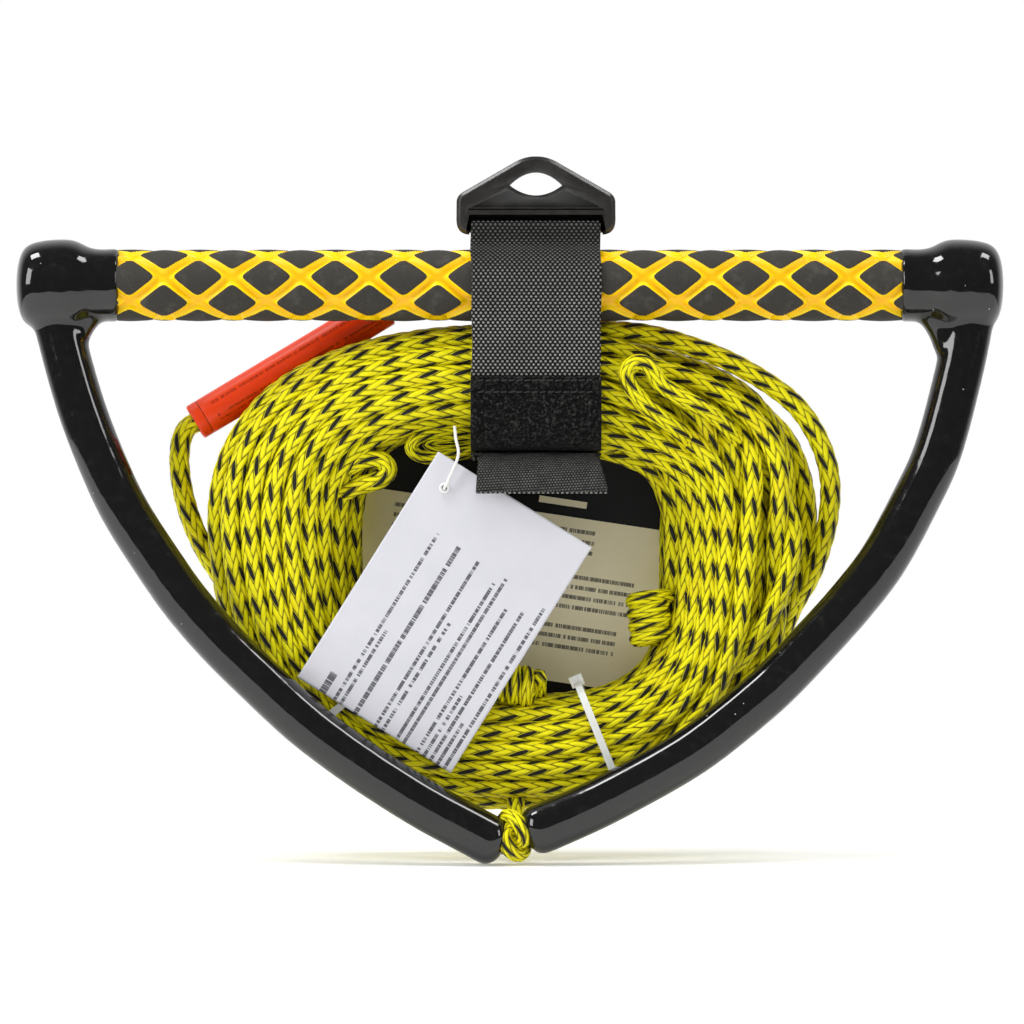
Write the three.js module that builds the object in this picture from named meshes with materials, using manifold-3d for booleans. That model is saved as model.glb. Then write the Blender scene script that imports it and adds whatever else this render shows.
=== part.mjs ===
// Water-ski tow rope handle, packed for storage: a padded bar with two moulded legs, a hank of
// braided tow rope strapped under the bar, and a plastic hanger on top.
// Millimetres. +X along the bar, +Z up, front is -Y. The origin is the top of the hanger's eye,
// where the peg that carries the part bears.

import * as THREE from 'three';
import { mergeVertices } from 'three/addons/utils/BufferGeometryUtils.js';
import Module from 'manifold-3d';

const wasm = await Module();
wasm.setup();

// ---------------------------------------------------------------- driving dimensions
const GAP = 0.3;

const HANDLE_X = -10.1;
const BAR_Y = -3.0;
const BAR_Z = -43.8;
const GRIP_LENGTH = 306.0;
const GRIP_RADIUS = 13.8;
const FOAM_SPLIT_RADIUS = 12.2;
const TUBE_RADIUS = 9.5;
const TUBE_WALL = 1.5;
const TUBE_LENGTH = 342.0;
const PLUG_LENGTH = 30.0;

const LEG_TILT = 0.14; // forward travel of the legs per millimetre of drop
const LEG_SOCKET_RADIUS = TUBE_RADIUS + GAP;
const BRIDLE_ROPE_RADIUS = 4.2;
const LEG_SIDES = 16;
const LEG_STEPS = 26;

const ROPE_DIAMETER = 8.8;
const COIL_Y = 12.0;
const COIL_DEPTH = 52.0;
const COIL_ROUND = 17.0;

const STRAP_WIDTH = 50.6;
const STRAP_THICKNESS = 1.6;
const TAPE_THICKNESS = 1.2;
const HANGER_PIVOT_Z = -21.2;
const HANGER_BAR_RADIUS = 2.2;
const HANGER_THICKNESS = 8.0;

const SLEEVE_START = new THREE.Vector3(-133.2, 16.0, -97.4);
const SLEEVE_END = new THREE.Vector3(-58.6, 22.0, -52.5);
const SLEEVE_RADIUS = 7.2;
const SLEEVE_BORE = ROPE_DIAMETER / 2 + 0.5;
const SLEEVE_TRAVEL = 10.0;

const TAG_WIDTH = 70.0;
const TAG_LENGTH = 103.0;
const TAG_TURN = THREE.MathUtils.degToRad(32);
const TAG_LEAF = 0.4;
const TAG_CENTRE = new THREE.Vector3(-35.4, -18.0, -170.2);
const TAG_PIVOT_Z = -122.1;
const TAG_HOLE_RADIUS = 1.7;

const CARD_WIDTH = 124.0;
const CARD_HEIGHT = 142.0;
const CARD_TURN = THREE.MathUtils.degToRad(-8.5);
const CARD_THICKNESS = 0.6;
const CARD_CENTRE = new THREE.Vector3(-8.0, 40.6, -150.0);

const TIE_WIDTH = 2.8;
const TIE_THICKNESS = 1.3;
const TIE_SLACK = 1.7;
const TIE_CORNER = 14;
const TIE_HEAD = { thickness: 4.4, depth: 5.4, width: 5.2 };

// ---------------------------------------------------------------- colours
const finishes = {
  charcoalFoam: { color: 0x3e3c36, roughness: 0.9, metalness: 0.0 },
  yellowFoam: { color: 0xf6cf14, roughness: 0.8, metalness: 0.0 },
  aluminium: { color: 0xb9bcc0, roughness: 0.35, metalness: 1.0 },
  corkFoam: { color: 0xd8d2c4, roughness: 0.95, metalness: 0.0 },
  glossBlack: { color: 0x0c0c0d, roughness: 0.12, metalness: 0.0 },
  hangerBlack: { color: 0x1d1d1c, roughness: 0.45, metalness: 0.0 },
  webbing: { color: 0x141414, roughness: 0.85, metalness: 0.0 },
  loopTape: { color: 0x101010, roughness: 1.0, metalness: 0.0 },
  hookTape: { color: 0x1b1b1b, roughness: 0.5, metalness: 0.0 },
  thread: { color: 0x232323, roughness: 0.8, metalness: 0.0 },
  rope: { color: 0xf2e60f, roughness: 0.6, metalness: 0.0 },
  orange: { color: 0xf04808, roughness: 0.4, metalness: 0.0 },
  paper: { color: 0xeeeef4, roughness: 0.7, metalness: 0.0 },
  card: { color: 0xc9bfa0, roughness: 0.8, metalness: 0.0 },
  nylonWhite: { color: 0xe8e8e4, roughness: 0.4, metalness: 0.0 },
};

const part = new THREE.Group();
part.name = 'tow_rope_handle';

function add(name, geometry, finish) {
  const material = new THREE.MeshStandardMaterial(finishes[finish]);
  material.name = finish;
  const mesh = new THREE.Mesh(geometry, material);
  mesh.name = name;
  part.add(mesh);
}

// ---------------------------------------------------------------- solids and booleans
function welded(geometry) {
  const bare = geometry.clone();
  bare.deleteAttribute('normal');
  bare.deleteAttribute('uv');
  const joined = mergeVertices(bare, 1e-3);
  const kept = [];
  const index = joined.index.array;
  for (let i = 0; i < index.length; i += 3) {
    const [a, b, c] = [index[i], index[i + 1], index[i + 2]];
    if (a !== b && b !== c && c !== a) {
      kept.push(a, b, c);
    }
  }
  joined.setIndex(kept);
  return joined;
}

function solid(geometry) {
  const joined = welded(geometry);
  return new wasm.Manifold(new wasm.Mesh({
    numProp: 3,
    vertProperties: new Float32Array(joined.attributes.position.array),
    triVerts: new Uint32Array(joined.index.array),
  }));
}

function shapeOf(manifold) {
  const mesh = manifold.getMesh();
  const geometry = new THREE.BufferGeometry();
  geometry.setAttribute('position', new THREE.Float32BufferAttribute(mesh.vertProperties, 3));
  geometry.setIndex(new THREE.Uint32BufferAttribute(mesh.triVerts, 1));
  const flat = geometry.toNonIndexed();
  flat.computeVertexNormals();
  return flat;
}

// A ring or solid of revolution about X, from [x, radius] pairs in order of x.
function turned(profile, sides) {
  const points = profile.map(([x, radius]) => new THREE.Vector2(radius, x));
  const geometry = new THREE.LatheGeometry(points, sides);
  geometry.rotateZ(-Math.PI / 2);
  return geometry;
}

function pipe(length, outer, inner, sides) {
  const half = length / 2;
  return turned([
    [-half, inner], [-half, outer], [half, outer], [half, inner], [-half, inner],
  ], sides);
}

function rod(length, radius, sides) {
  const half = length / 2;
  return turned([[-half, 0], [-half, radius], [half, radius], [half, 0]], sides);
}

function circleShape(radius, sides) {
  const points = [];
  for (let i = 0; i < sides; i += 1) {
    const angle = (i / sides) * 2 * Math.PI;
    points.push(new THREE.Vector2(radius * Math.cos(angle), radius * Math.sin(angle)));
  }
  return new THREE.Shape(points);
}

function curveThrough(points) {
  const vectors = points.map((p) => (p.isVector3 ? p : new THREE.Vector3(...p)));
  return new THREE.CatmullRomCurve3(vectors, false, 'centripetal');
}

function tubeAlong(points, radius, sides, steps) {
  return new THREE.ExtrudeGeometry(circleShape(radius, sides), {
    extrudePath: curveThrough(points),
    steps,
    bevelEnabled: false,
  });
}

// A tube whose radius goes from start to end along the path.
function taperedTube(points, start, end, sides, steps) {
  const curve = curveThrough(points);
  const geometry = tubeAlong(points, start, sides, steps);
  const centres = curve.getSpacedPoints(steps);
  const position = geometry.attributes.position;
  const vertex = new THREE.Vector3();
  for (let i = 0; i < position.count; i += 1) {
    vertex.fromBufferAttribute(position, i);
    let nearest = 0;
    for (let k = 1; k <= steps; k += 1) {
      if (centres[k].distanceToSquared(vertex) < centres[nearest].distanceToSquared(vertex)) {
        nearest = k;
      }
    }
    const radius = THREE.MathUtils.lerp(start, end, nearest / steps);
    vertex.sub(centres[nearest]).multiplyScalar(radius / start).add(centres[nearest]);
    position.setXYZ(i, vertex.x, vertex.y, vertex.z);
  }
  return geometry;
}

// A flat plate drawn in X and Z, with its thickness along Y.
function plate(shape, thickness, options = {}) {
  const geometry = new THREE.ExtrudeGeometry(shape, {
    depth: thickness,
    bevelEnabled: false,
    curveSegments: 8,
    ...options,
  });
  geometry.translate(0, 0, -thickness / 2);
  geometry.rotateX(Math.PI / 2);
  return geometry;
}

// A strip of even thickness that follows [y, z] points and is as wide as given along X.
function band(points, thickness, width) {
  const curve = new THREE.SplineCurve(points.map(([y, z]) => new THREE.Vector2(y, z)));
  const count = points.length * 3;
  const left = [];
  const right = [];
  for (let i = 0; i <= count; i += 1) {
    const at = curve.getPoint(i / count);
    const along = curve.getTangent(i / count);
    const side = new THREE.Vector2(-along.y, along.x).multiplyScalar(thickness / 2);
    left.push(at.clone().add(side));
    right.push(at.clone().sub(side));
  }
  const shape = new THREE.Shape(left.concat(right.reverse()));
  const geometry = new THREE.ExtrudeGeometry(shape, { depth: width, bevelEnabled: false });
  geometry.translate(0, 0, -width / 2);
  const turn = new THREE.Matrix4().makeBasis(
    new THREE.Vector3(0, 1, 0),
    new THREE.Vector3(0, 0, 1),
    new THREE.Vector3(1, 0, 0),
  );
  geometry.applyMatrix4(turn);
  return geometry;
}

// ---------------------------------------------------------------- bar, grip and plugs
function atBar(geometry, x = HANDLE_X) {
  geometry.translate(x, BAR_Y, BAR_Z);
  return geometry;
}

add('handle_tube', atBar(pipe(TUBE_LENGTH, TUBE_RADIUS, TUBE_RADIUS - TUBE_WALL, 24)), 'aluminium');

for (const [side, sign] of [['left', -1], ['right', 1]]) {
  const x = HANDLE_X + sign * (TUBE_LENGTH / 2 - PLUG_LENGTH / 2 - 1);
  const plug = rod(PLUG_LENGTH, TUBE_RADIUS - TUBE_WALL - GAP, 16);
  add(`tube_plug_${side}`, atBar(plug, x), 'corkFoam');
}

add(
  'grip_inner_foam',
  atBar(pipe(GRIP_LENGTH, FOAM_SPLIT_RADIUS - GAP / 2, TUBE_RADIUS + GAP, 24)),
  'yellowFoam',
);
add(
  'grip_outer_foam',
  atBar(pipe(GRIP_LENGTH, GRIP_RADIUS, FOAM_SPLIT_RADIUS + GAP / 2, 28)),
  'charcoalFoam',
);

// ---------------------------------------------------------------- moulded corners and legs
// Distance out from the middle of the bar and height, down to the blunt lower ends.
const LEG_RADIUS = { top: 9.3, bottom: 9.6 };
const LEFT_LEG_ROUTE = [
  [178.5, -47.0], [174.5, -62.0], [169.6, -80.0], [164.6, -95.5], [156.3, -116.0],
  [149.0, -131.0], [136.5, -150.5], [125.5, -166.0], [111.5, -182.0], [95.0, -198.0],
  [78.5, -213.0], [57.5, -228.5], [33.0, -244.0], [20.0, -251.0], [6.2, -258.2],
];
const RIGHT_LEG_ROUTE = [
  [180.0, -47.0], [177.5, -62.0], [173.5, -80.0], [165.0, -110.0], [157.0, -127.0],
  [144.0, -150.5], [132.0, -166.0], [118.0, -181.5], [102.5, -197.5], [94.0, -205.0],
  [74.5, -220.5], [62.0, -228.5], [34.0, -243.5], [20.5, -249.6], [10.0, -254.0],
];
const CORNER_PROFILE = [
  [153.6, 0], [153.6, 13.7], [159.0, 13.7], [163.0, 14.3], [167.0, 16.3], [170.5, 17.3],
  [175.0, 17.4], [181.0, 16.9], [186.0, 15.6], [188.8, 13.5], [190.4, 9.5], [190.9, 0],
];

function legPoint(out, z, sign) {
  const y = BAR_Y + LEG_TILT * (z - BAR_Z);
  return new THREE.Vector3(HANDLE_X + sign * out, y, z);
}

function addLeg(side, sign, route) {
  const path = route.map(([out, z]) => legPoint(out, z, sign));
  const corner = turned(CORNER_PROFILE, 20);
  if (sign < 0) {
    corner.rotateZ(Math.PI);
  }
  const socket = rod((TUBE_LENGTH / 2 - 153) * 2, LEG_SOCKET_RADIUS, 24);
  const socketX = HANDLE_X + sign * 153.3;
  const leg = taperedTube(path, LEG_RADIUS.top, LEG_RADIUS.bottom, LEG_SIDES, LEG_STEPS);
  const borePath = extended(extended(path, 2).reverse(), 3).reverse();
  const bore = tubeAlong(borePath, BRIDLE_ROPE_RADIUS + 0.6, 10, LEG_STEPS);
  const body = solid(atBar(corner))
    .add(solid(leg))
    .subtract(solid(atBar(socket, socketX)))
    .subtract(solid(bore));
  add(`bridle_leg_${side}`, shapeOf(body), 'glossBlack');
  const core = tubeAlong(extended(path, 2), BRIDLE_ROPE_RADIUS, 10, LEG_STEPS);
  const tubeRoom = atBar(rod(2 * (TUBE_LENGTH / 2 - 152.7), LEG_SOCKET_RADIUS, 24), socketX);
  add(`bridle_rope_${side}`, shapeOf(solid(core).subtract(solid(tubeRoom))), 'rope');
}

// The same path, carried a given distance past its lower end.
function extended(path, distance) {
  const last = path[path.length - 1];
  const before = path[path.length - 2];
  const beyond = last.clone().sub(before).normalize().multiplyScalar(distance).add(last);
  return [...path, beyond];
}

addLeg('left', -1, LEFT_LEG_ROUTE);
addLeg('right', 1, RIGHT_LEG_ROUTE);

// ---------------------------------------------------------------- knot between the leg ends
const KNOT_CENTRE = new THREE.Vector3(-8.9, -32.5, -256.0);
const knot = new THREE.SphereGeometry(1, 12, 8);
knot.scale(2.9, 8.0, 9.0);
knot.translate(KNOT_CENTRE.x, KNOT_CENTRE.y, KNOT_CENTRE.z);
add('bridle_knot', knot, 'rope');

// ---------------------------------------------------------------- rope hank
// Oval outline of the hank at share k from its hole (0) to its outside (1), wider above than below.
const COIL_OUTER = { x: -10.0, z: -153.6, halfWidth: 118.5, halfHeight: 95.2, squareness: 2.2 };
const COIL_INNER = { x: -10.5, z: -151.4, halfWidth: 61.0, halfHeight: 51.6, squareness: 3.0 };
const COIL_NARROWING = 0.14;

function coilPoint(angle, k) {
  const mix = (key) => THREE.MathUtils.lerp(COIL_INNER[key], COIL_OUTER[key], k);
  const power = 2 / mix('squareness');
  const c = Math.sign(Math.cos(angle)) * Math.abs(Math.cos(angle)) ** power;
  const s = Math.sign(Math.sin(angle)) * Math.abs(Math.sin(angle)) ** power;
  const width = mix('halfWidth') * (1 + COIL_NARROWING * k * s);
  return new THREE.Vector2(mix('x') + width * c, mix('z') + mix('halfHeight') * s);
}

function coilOutline(k, grow, count) {
  const points = [];
  for (let i = 0; i < count; i += 1) {
    const angle = (i / count) * 2 * Math.PI;
    const at = coilPoint(angle, k);
    const centre = new THREE.Vector2(COIL_OUTER.x, COIL_OUTER.z);
    points.push(at.add(at.clone().sub(centre).normalize().multiplyScalar(grow)));
  }
  return points;
}

function coilSolid(grow) {
  const shape = new THREE.Shape(coilOutline(1, grow, 40));
  shape.holes.push(new THREE.Path(coilOutline(0, -grow, 28)));
  const flatDepth = COIL_DEPTH - 2 * COIL_ROUND + 2 * grow;
  const geometry = new THREE.ExtrudeGeometry(shape, {
    depth: flatDepth,
    bevelEnabled: true,
    bevelThickness: COIL_ROUND,
    bevelSize: COIL_ROUND,
    bevelOffset: -COIL_ROUND,
    bevelSegments: 3,
  });
  geometry.translate(0, 0, -flatDepth / 2);
  geometry.rotateX(Math.PI / 2);
  geometry.translate(0, COIL_Y, 0);
  return solid(geometry);
}

const sleeveAlong = SLEEVE_END.clone().sub(SLEEVE_START).normalize();
const sleeveAt = (distance) => sleeveAlong.clone().multiplyScalar(distance).add(SLEEVE_START);
const sleeveLength = SLEEVE_END.distanceTo(SLEEVE_START);

const sleeveRoom = tubeAlong(
  [sleeveAt(-1), sleeveAt(sleeveLength + SLEEVE_TRAVEL + 1)],
  SLEEVE_RADIUS + GAP + 0.2, 20, 1,
);
add('rope_coil', shapeOf(coilSolid(0).subtract(solid(sleeveRoom))), 'rope');

const clearOfCoil = coilSolid(GAP);

function addStrand(name, route, steps) {
  const tube = solid(tubeAlong(route, ROPE_DIAMETER / 2, 10, steps));
  add(name, shapeOf(tube.subtract(clearOfCoil)), 'rope');
}

// Loose strand out of the sleeve's lower end, round the left of the hank.
const LEFT_STRAND = [
  [-138.0, 15.3, -102.5], [-139.2, 14.6, -109.5], [-138.8, 13.8, -118.5], [-136.8, 13.2, -128.5],
  [-133.2, 12.6, -139.0], [-128.0, 12.0, -149.5], [-119.0, 12.0, -164.0],
];
addStrand('rope_strand_left', [sleeveAt(-0.4), sleeveAt(-3), ...LEFT_STRAND], 24);

// The tow end, through the sleeve and on behind the bar to the top of the hank.
const TOP_STRAND = [
  [-41.5, 23.4, -44.0], [-34.0, 24.0, -43.2], [-25.0, 24.3, -44.0], [-13.0, 25.4, -45.8],
  [0.0, 26.6, -48.6], [14.0, 27.6, -53.4], [28.0, 28.0, -60.0], [40.0, 27.0, -68.0],
];
const sleeveStops = [0, sleeveLength / 2, sleeveLength, sleeveLength + 6, sleeveLength + 12];
addStrand('rope_strand_tow', [...sleeveStops.map(sleeveAt), ...TOP_STRAND], 36);

// Loose strand that leaves the top of the hank and comes back at its right side.
const RIGHT_STRAND = [
  [34.0, 2.0, -70.0], [46.0, 0.5, -64.5], [59.0, 0.0, -63.4], [71.6, 0.0, -66.3],
  [82.6, 0.5, -71.0], [94.0, 1.0, -78.0], [103.9, 2.0, -86.7], [110.2, 3.0, -96.5],
  [113.8, 4.0, -107.5], [114.9, 5.5, -120.0], [114.2, 7.0, -133.0], [112.0, 8.5, -146.0],
  [107.5, 10.0, -158.5], [100.0, 12.0, -170.0],
];
addStrand('rope_strand_right', RIGHT_STRAND, 30);

// From the knot up behind the legs into the bottom of the hank.
const LEAD_STRAND = [
  [-7.8, -18.5, -256.5], [-7.8, -12.0, -253.0], [-7.8, -5.0, -244.0], [-7.8, 1.0, -232.0],
];
const leadTube = tubeAlong(LEAD_STRAND, 3.4, 10, 10);
add('bridle_lead', shapeOf(solid(leadTube).subtract(clearOfCoil)), 'rope');

// ---------------------------------------------------------------- sleeve
const sleeveShape = circleShape(SLEEVE_RADIUS, 24);
sleeveShape.holes.push(new THREE.Path(circleShape(SLEEVE_BORE, 24).getPoints().reverse()));
add('warning_sleeve', new THREE.ExtrudeGeometry(sleeveShape, {
  extrudePath: new THREE.LineCurve3(SLEEVE_START, SLEEVE_END),
  steps: 1,
  bevelEnabled: false,
}), 'orange');

// ---------------------------------------------------------------- hanger
function hangerBody() {
  const outline = new THREE.Shape();
  outline.moveTo(-2.8, 6.3);
  outline.lineTo(2.8, 6.3);
  outline.quadraticCurveTo(5.4, 5.8, 7.4, 4.5);
  outline.lineTo(29.4, -8.2);
  outline.quadraticCurveTo(30.9, -9.2, 30.9, -11.4);
  outline.lineTo(30.9, -19.0);
  outline.quadraticCurveTo(30.4, -23.8, 25.9, -24.1);
  outline.lineTo(25.9, -16.3);
  outline.lineTo(-25.9, -16.3);
  outline.lineTo(-25.9, -24.1);
  outline.quadraticCurveTo(-30.4, -23.8, -30.9, -19.0);
  outline.lineTo(-30.9, -11.4);
  outline.quadraticCurveTo(-30.9, -9.2, -29.4, -8.2);
  outline.lineTo(-7.4, 4.5);
  outline.quadraticCurveTo(-5.4, 5.8, -2.8, 6.3);
  const eye = new THREE.Path();
  eye.moveTo(-10.2, -5.0);
  eye.quadraticCurveTo(0, -12.8, 10.2, -5.0);
  eye.quadraticCurveTo(0, 5.0, -10.2, -5.0);
  outline.holes.push(eye);
  const pocket = new THREE.Shape();
  pocket.moveTo(-25.0, -13.6);
  pocket.lineTo(25.0, -13.6);
  pocket.lineTo(11.8, -6.2);
  pocket.quadraticCurveTo(0, -14.2, -11.8, -6.2);
  pocket.lineTo(-25.0, -13.6);
  const front = plate(pocket, 4.0);
  front.translate(0, -HANGER_THICKNESS / 2, 0);
  const back = plate(pocket, 4.0);
  back.translate(0, HANGER_THICKNESS / 2, 0);
  const loopBar = rod(52.4, HANGER_BAR_RADIUS, 12);
  loopBar.translate(0, 0, HANGER_PIVOT_Z);
  return solid(plate(outline, HANGER_THICKNESS))
    .subtract(solid(front))
    .subtract(solid(back))
    .add(solid(loopBar));
}
add('hanger', shapeOf(hangerBody()), 'hangerBlack');

// ---------------------------------------------------------------- strap
// One length of webbing: up the front of the hank and bar, round the hanger's lower bar, down the
// back and forward again underneath.
const loopRadius = HANGER_BAR_RADIUS + 0.4 + STRAP_THICKNESS / 2;
const FRONT_FOLD_Z = -105.9;
const BACK_FOLD_Z = -111.0;
const FRONT_PLY = [
  [8.0, FRONT_FOLD_Z], [-4.0, FRONT_FOLD_Z], [-11.5, -105.2], [-16.0, -102.0], [-18.0, -96.0],
  [-18.3, -84.0], [-18.3, -62.0], [-18.2, -46.0], [-17.2, -37.5], [-13.2, -31.6],
  [-7.4, -27.0], [-4.0, -23.8],
];
const HANGER_LOOP = [[-loopRadius, HANGER_PIVOT_Z], [-2.4, -18.8],
  [0, HANGER_PIVOT_Z + loopRadius], [2.4, -18.8], [loopRadius, HANGER_PIVOT_Z]];
const BACK_PLY = [
  [5.0, -25.0], [12.5, -31.0], [23.0, -35.5], [32.0, -41.5], [38.5, -51.0], [42.0, -64.0],
  [42.4, -80.0], [42.2, -95.0], [39.5, -105.0], [33.0, -110.0], [22.0, BACK_FOLD_Z],
  [-6.0, BACK_FOLD_Z], [-12.0, BACK_FOLD_Z],
];
add(
  'strap_webbing',
  band([...FRONT_PLY, ...HANGER_LOOP, ...BACK_PLY], STRAP_THICKNESS, STRAP_WIDTH),
  'webbing',
);

const tapeOffset = STRAP_THICKNESS / 2 + GAP + TAPE_THICKNESS / 2;
const LOOP_TAPE = [
  [8.0, FRONT_FOLD_Z - tapeOffset], [-4.0, FRONT_FOLD_Z - tapeOffset], [-12.2, -106.9],
  [-17.5, -103.2], [-20.0, -96.4], [-18.3 - tapeOffset, -84.0], [-18.3 - tapeOffset, -79.0],
];
add('strap_loop_tape', band(LOOP_TAPE, TAPE_THICKNESS, STRAP_WIDTH), 'loopTape');

const HOOK_TAPE = [[18.0, BACK_FOLD_Z + tapeOffset], [4.0, BACK_FOLD_Z + tapeOffset],
  [-12.0, BACK_FOLD_Z + tapeOffset]];
add('strap_hook_tape', band(HOOK_TAPE, TAPE_THICKNESS, STRAP_WIDTH - 1), 'hookTape');

// Loose end of the strap, drooping forward from the closure.
const TAIL_WEBBING = [
  [-12.9, -111.2], [-16.5, -112.4], [-20.0, -115.2], [-22.6, -119.0], [-24.6, -124.0],
];
add('tail_webbing', band(TAIL_WEBBING, STRAP_THICKNESS, STRAP_WIDTH), 'webbing');
const TAIL_TAPE = [
  [-12.9, -109.6], [-17.4, -110.9], [-21.6, -114.2], [-24.4, -118.3], [-26.3, -123.4],
];
add('tail_hook_tape', band(TAIL_TAPE, TAPE_THICKNESS, STRAP_WIDTH - 1), 'hookTape');

// Sewn thread rows across the loop tape, each one stitch line.
function stitchRow(name, y, z) {
  const row = new THREE.BoxGeometry(STRAP_WIDTH - 6, 0.5, 0.7);
  row.translate(0, y, z);
  add(name, row, 'thread');
}
const tapeFace = -18.3 - tapeOffset - TAPE_THICKNESS / 2 - GAP - 0.25;
stitchRow('stitch_row_upper', tapeFace, -80.5);
stitchRow('stitch_row_lower', tapeFace, -85.0);

// ---------------------------------------------------------------- zip ties round the hank
// A closed band about the hank between its hole at one angle and its outside at another. The head
// stands in the hole, near the front.
function addTie(name, innerAngle, outerAngle) {
  const inner = coilPoint(THREE.MathUtils.degToRad(innerAngle), 0);
  const outer = coilPoint(THREE.MathUtils.degToRad(outerAngle), 1);
  const along = outer.clone().sub(inner);
  const length = along.length();
  const front = COIL_Y - COIL_DEPTH / 2 - 0.6;
  const back = COIL_Y + COIL_DEPTH / 2 + 0.5;
  const middle = (front + back) / 2;
  const half = { u: length / 2 + TIE_SLACK, v: (back - front) / 2 };
  const loop = roundedRectangle(half.u + TIE_THICKNESS, half.v + TIE_THICKNESS, TIE_CORNER);
  const room = roundedRectangle(half.u, half.v, TIE_CORNER - 1);
  loop.holes.push(new THREE.Path(room.getPoints(4).reverse()));
  const geometry = new THREE.ExtrudeGeometry(loop, {
    depth: TIE_WIDTH, bevelEnabled: false, curveSegments: 4,
  });
  geometry.translate(0, 0, -TIE_WIDTH / 2);
  const head = new THREE.BoxGeometry(TIE_HEAD.thickness, TIE_HEAD.depth, TIE_HEAD.width);
  head.translate(-half.u - TIE_HEAD.thickness / 2, half.v - TIE_CORNER - TIE_HEAD.depth / 2, 0);
  const u = new THREE.Vector3(along.x, 0, along.y).normalize();
  const v = new THREE.Vector3(0, -1, 0);
  const w = u.clone().cross(v);
  const centre = inner.clone().add(outer).multiplyScalar(0.5);
  const place = new THREE.Matrix4().makeBasis(u, v, w)
    .setPosition(centre.x, middle, centre.y);
  geometry.applyMatrix4(place);
  head.applyMatrix4(place);
  add(name, shapeOf(solid(geometry).add(solid(head))), 'nylonWhite');
}

function roundedRectangle(halfU, halfV, radius) {
  const shape = new THREE.Shape();
  shape.moveTo(halfU - radius, -halfV);
  shape.quadraticCurveTo(halfU, -halfV, halfU, -halfV + radius);
  shape.lineTo(halfU, halfV - radius);
  shape.quadraticCurveTo(halfU, halfV, halfU - radius, halfV);
  shape.lineTo(-halfU + radius, halfV);
  shape.quadraticCurveTo(-halfU, halfV, -halfU, halfV - radius);
  shape.lineTo(-halfU, -halfV + radius);
  shape.quadraticCurveTo(-halfU, -halfV, -halfU + radius, -halfV);
  shape.lineTo(halfU - radius, -halfV);
  return shape;
}

addTie('zip_tie_right', -72, -67);
addTie('zip_tie_left', -134, -138);

// ---------------------------------------------------------------- instruction tag on its string
function tagLeaf(y) {
  const outline = new THREE.Shape();
  outline.moveTo(-TAG_WIDTH / 2, -TAG_LENGTH / 2);
  outline.lineTo(TAG_WIDTH / 2, -TAG_LENGTH / 2);
  outline.lineTo(TAG_WIDTH / 2, TAG_LENGTH / 2);
  outline.lineTo(-TAG_WIDTH / 2, TAG_LENGTH / 2);
  const reach = TAG_PIVOT_Z - TAG_CENTRE.z;
  const hole = new THREE.Path(circleShape(TAG_HOLE_RADIUS, 12).getPoints().reverse()
    .map((p) => p.add(new THREE.Vector2(
      -reach * Math.sin(TAG_TURN),
      reach * Math.cos(TAG_TURN),
    ))));
  outline.holes.push(hole);
  const leaf = plate(outline, TAG_LEAF);
  leaf.rotateY(TAG_TURN);
  leaf.translate(TAG_CENTRE.x, y, TAG_CENTRE.z);
  return leaf;
}
add('tag_front_leaf', tagLeaf(TAG_CENTRE.y - 0.35), 'paper');
add('tag_back_leaf', tagLeaf(TAG_CENTRE.y + 0.35), 'paper');

const TAG_STRING = [
  [-31.5, -16.2, -98.5], [-31.0, -20.0, -103.0], [-30.0, -21.6, -109.0], [-32.6, -21.4, -116.0],
  [TAG_CENTRE.x, -20.4, TAG_PIVOT_Z], [TAG_CENTRE.x, -16.6, TAG_PIVOT_Z],
];
add('tag_string', tubeAlong(TAG_STRING, 0.6, 8, 30), 'nylonWhite');

// ---------------------------------------------------------------- product card behind the hank
// The strap's back ply comes forward through the slot, which is what holds the card.
function productCard() {
  const outline = new THREE.Shape();
  const [w, h] = [CARD_WIDTH / 2, CARD_HEIGHT / 2];
  outline.moveTo(-w, -h);
  outline.lineTo(w, -h);
  outline.lineTo(w, h);
  outline.lineTo(-w, h);
  const card = plate(outline, CARD_THICKNESS);
  card.rotateY(-CARD_TURN);
  card.translate(CARD_CENTRE.x, CARD_CENTRE.y, CARD_CENTRE.z);
  const slot = new THREE.BoxGeometry(STRAP_WIDTH + 1.4, 6, 12);
  slot.translate(0, CARD_CENTRE.y, -102.0);
  return solid(card).subtract(solid(slot));
}
add('product_card', shapeOf(productCard()), 'card');

export default part;
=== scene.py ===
"""Looks of the tow rope handle: gripped bar with moulded legs, strapped rope hank, hanger, tag and card.

Lengths in this file are millimetres in the part's own frame, unless a name says metres.
"""

import math

import bmesh
import bpy
import numpy as np
from mathutils import Matrix, Vector


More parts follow.
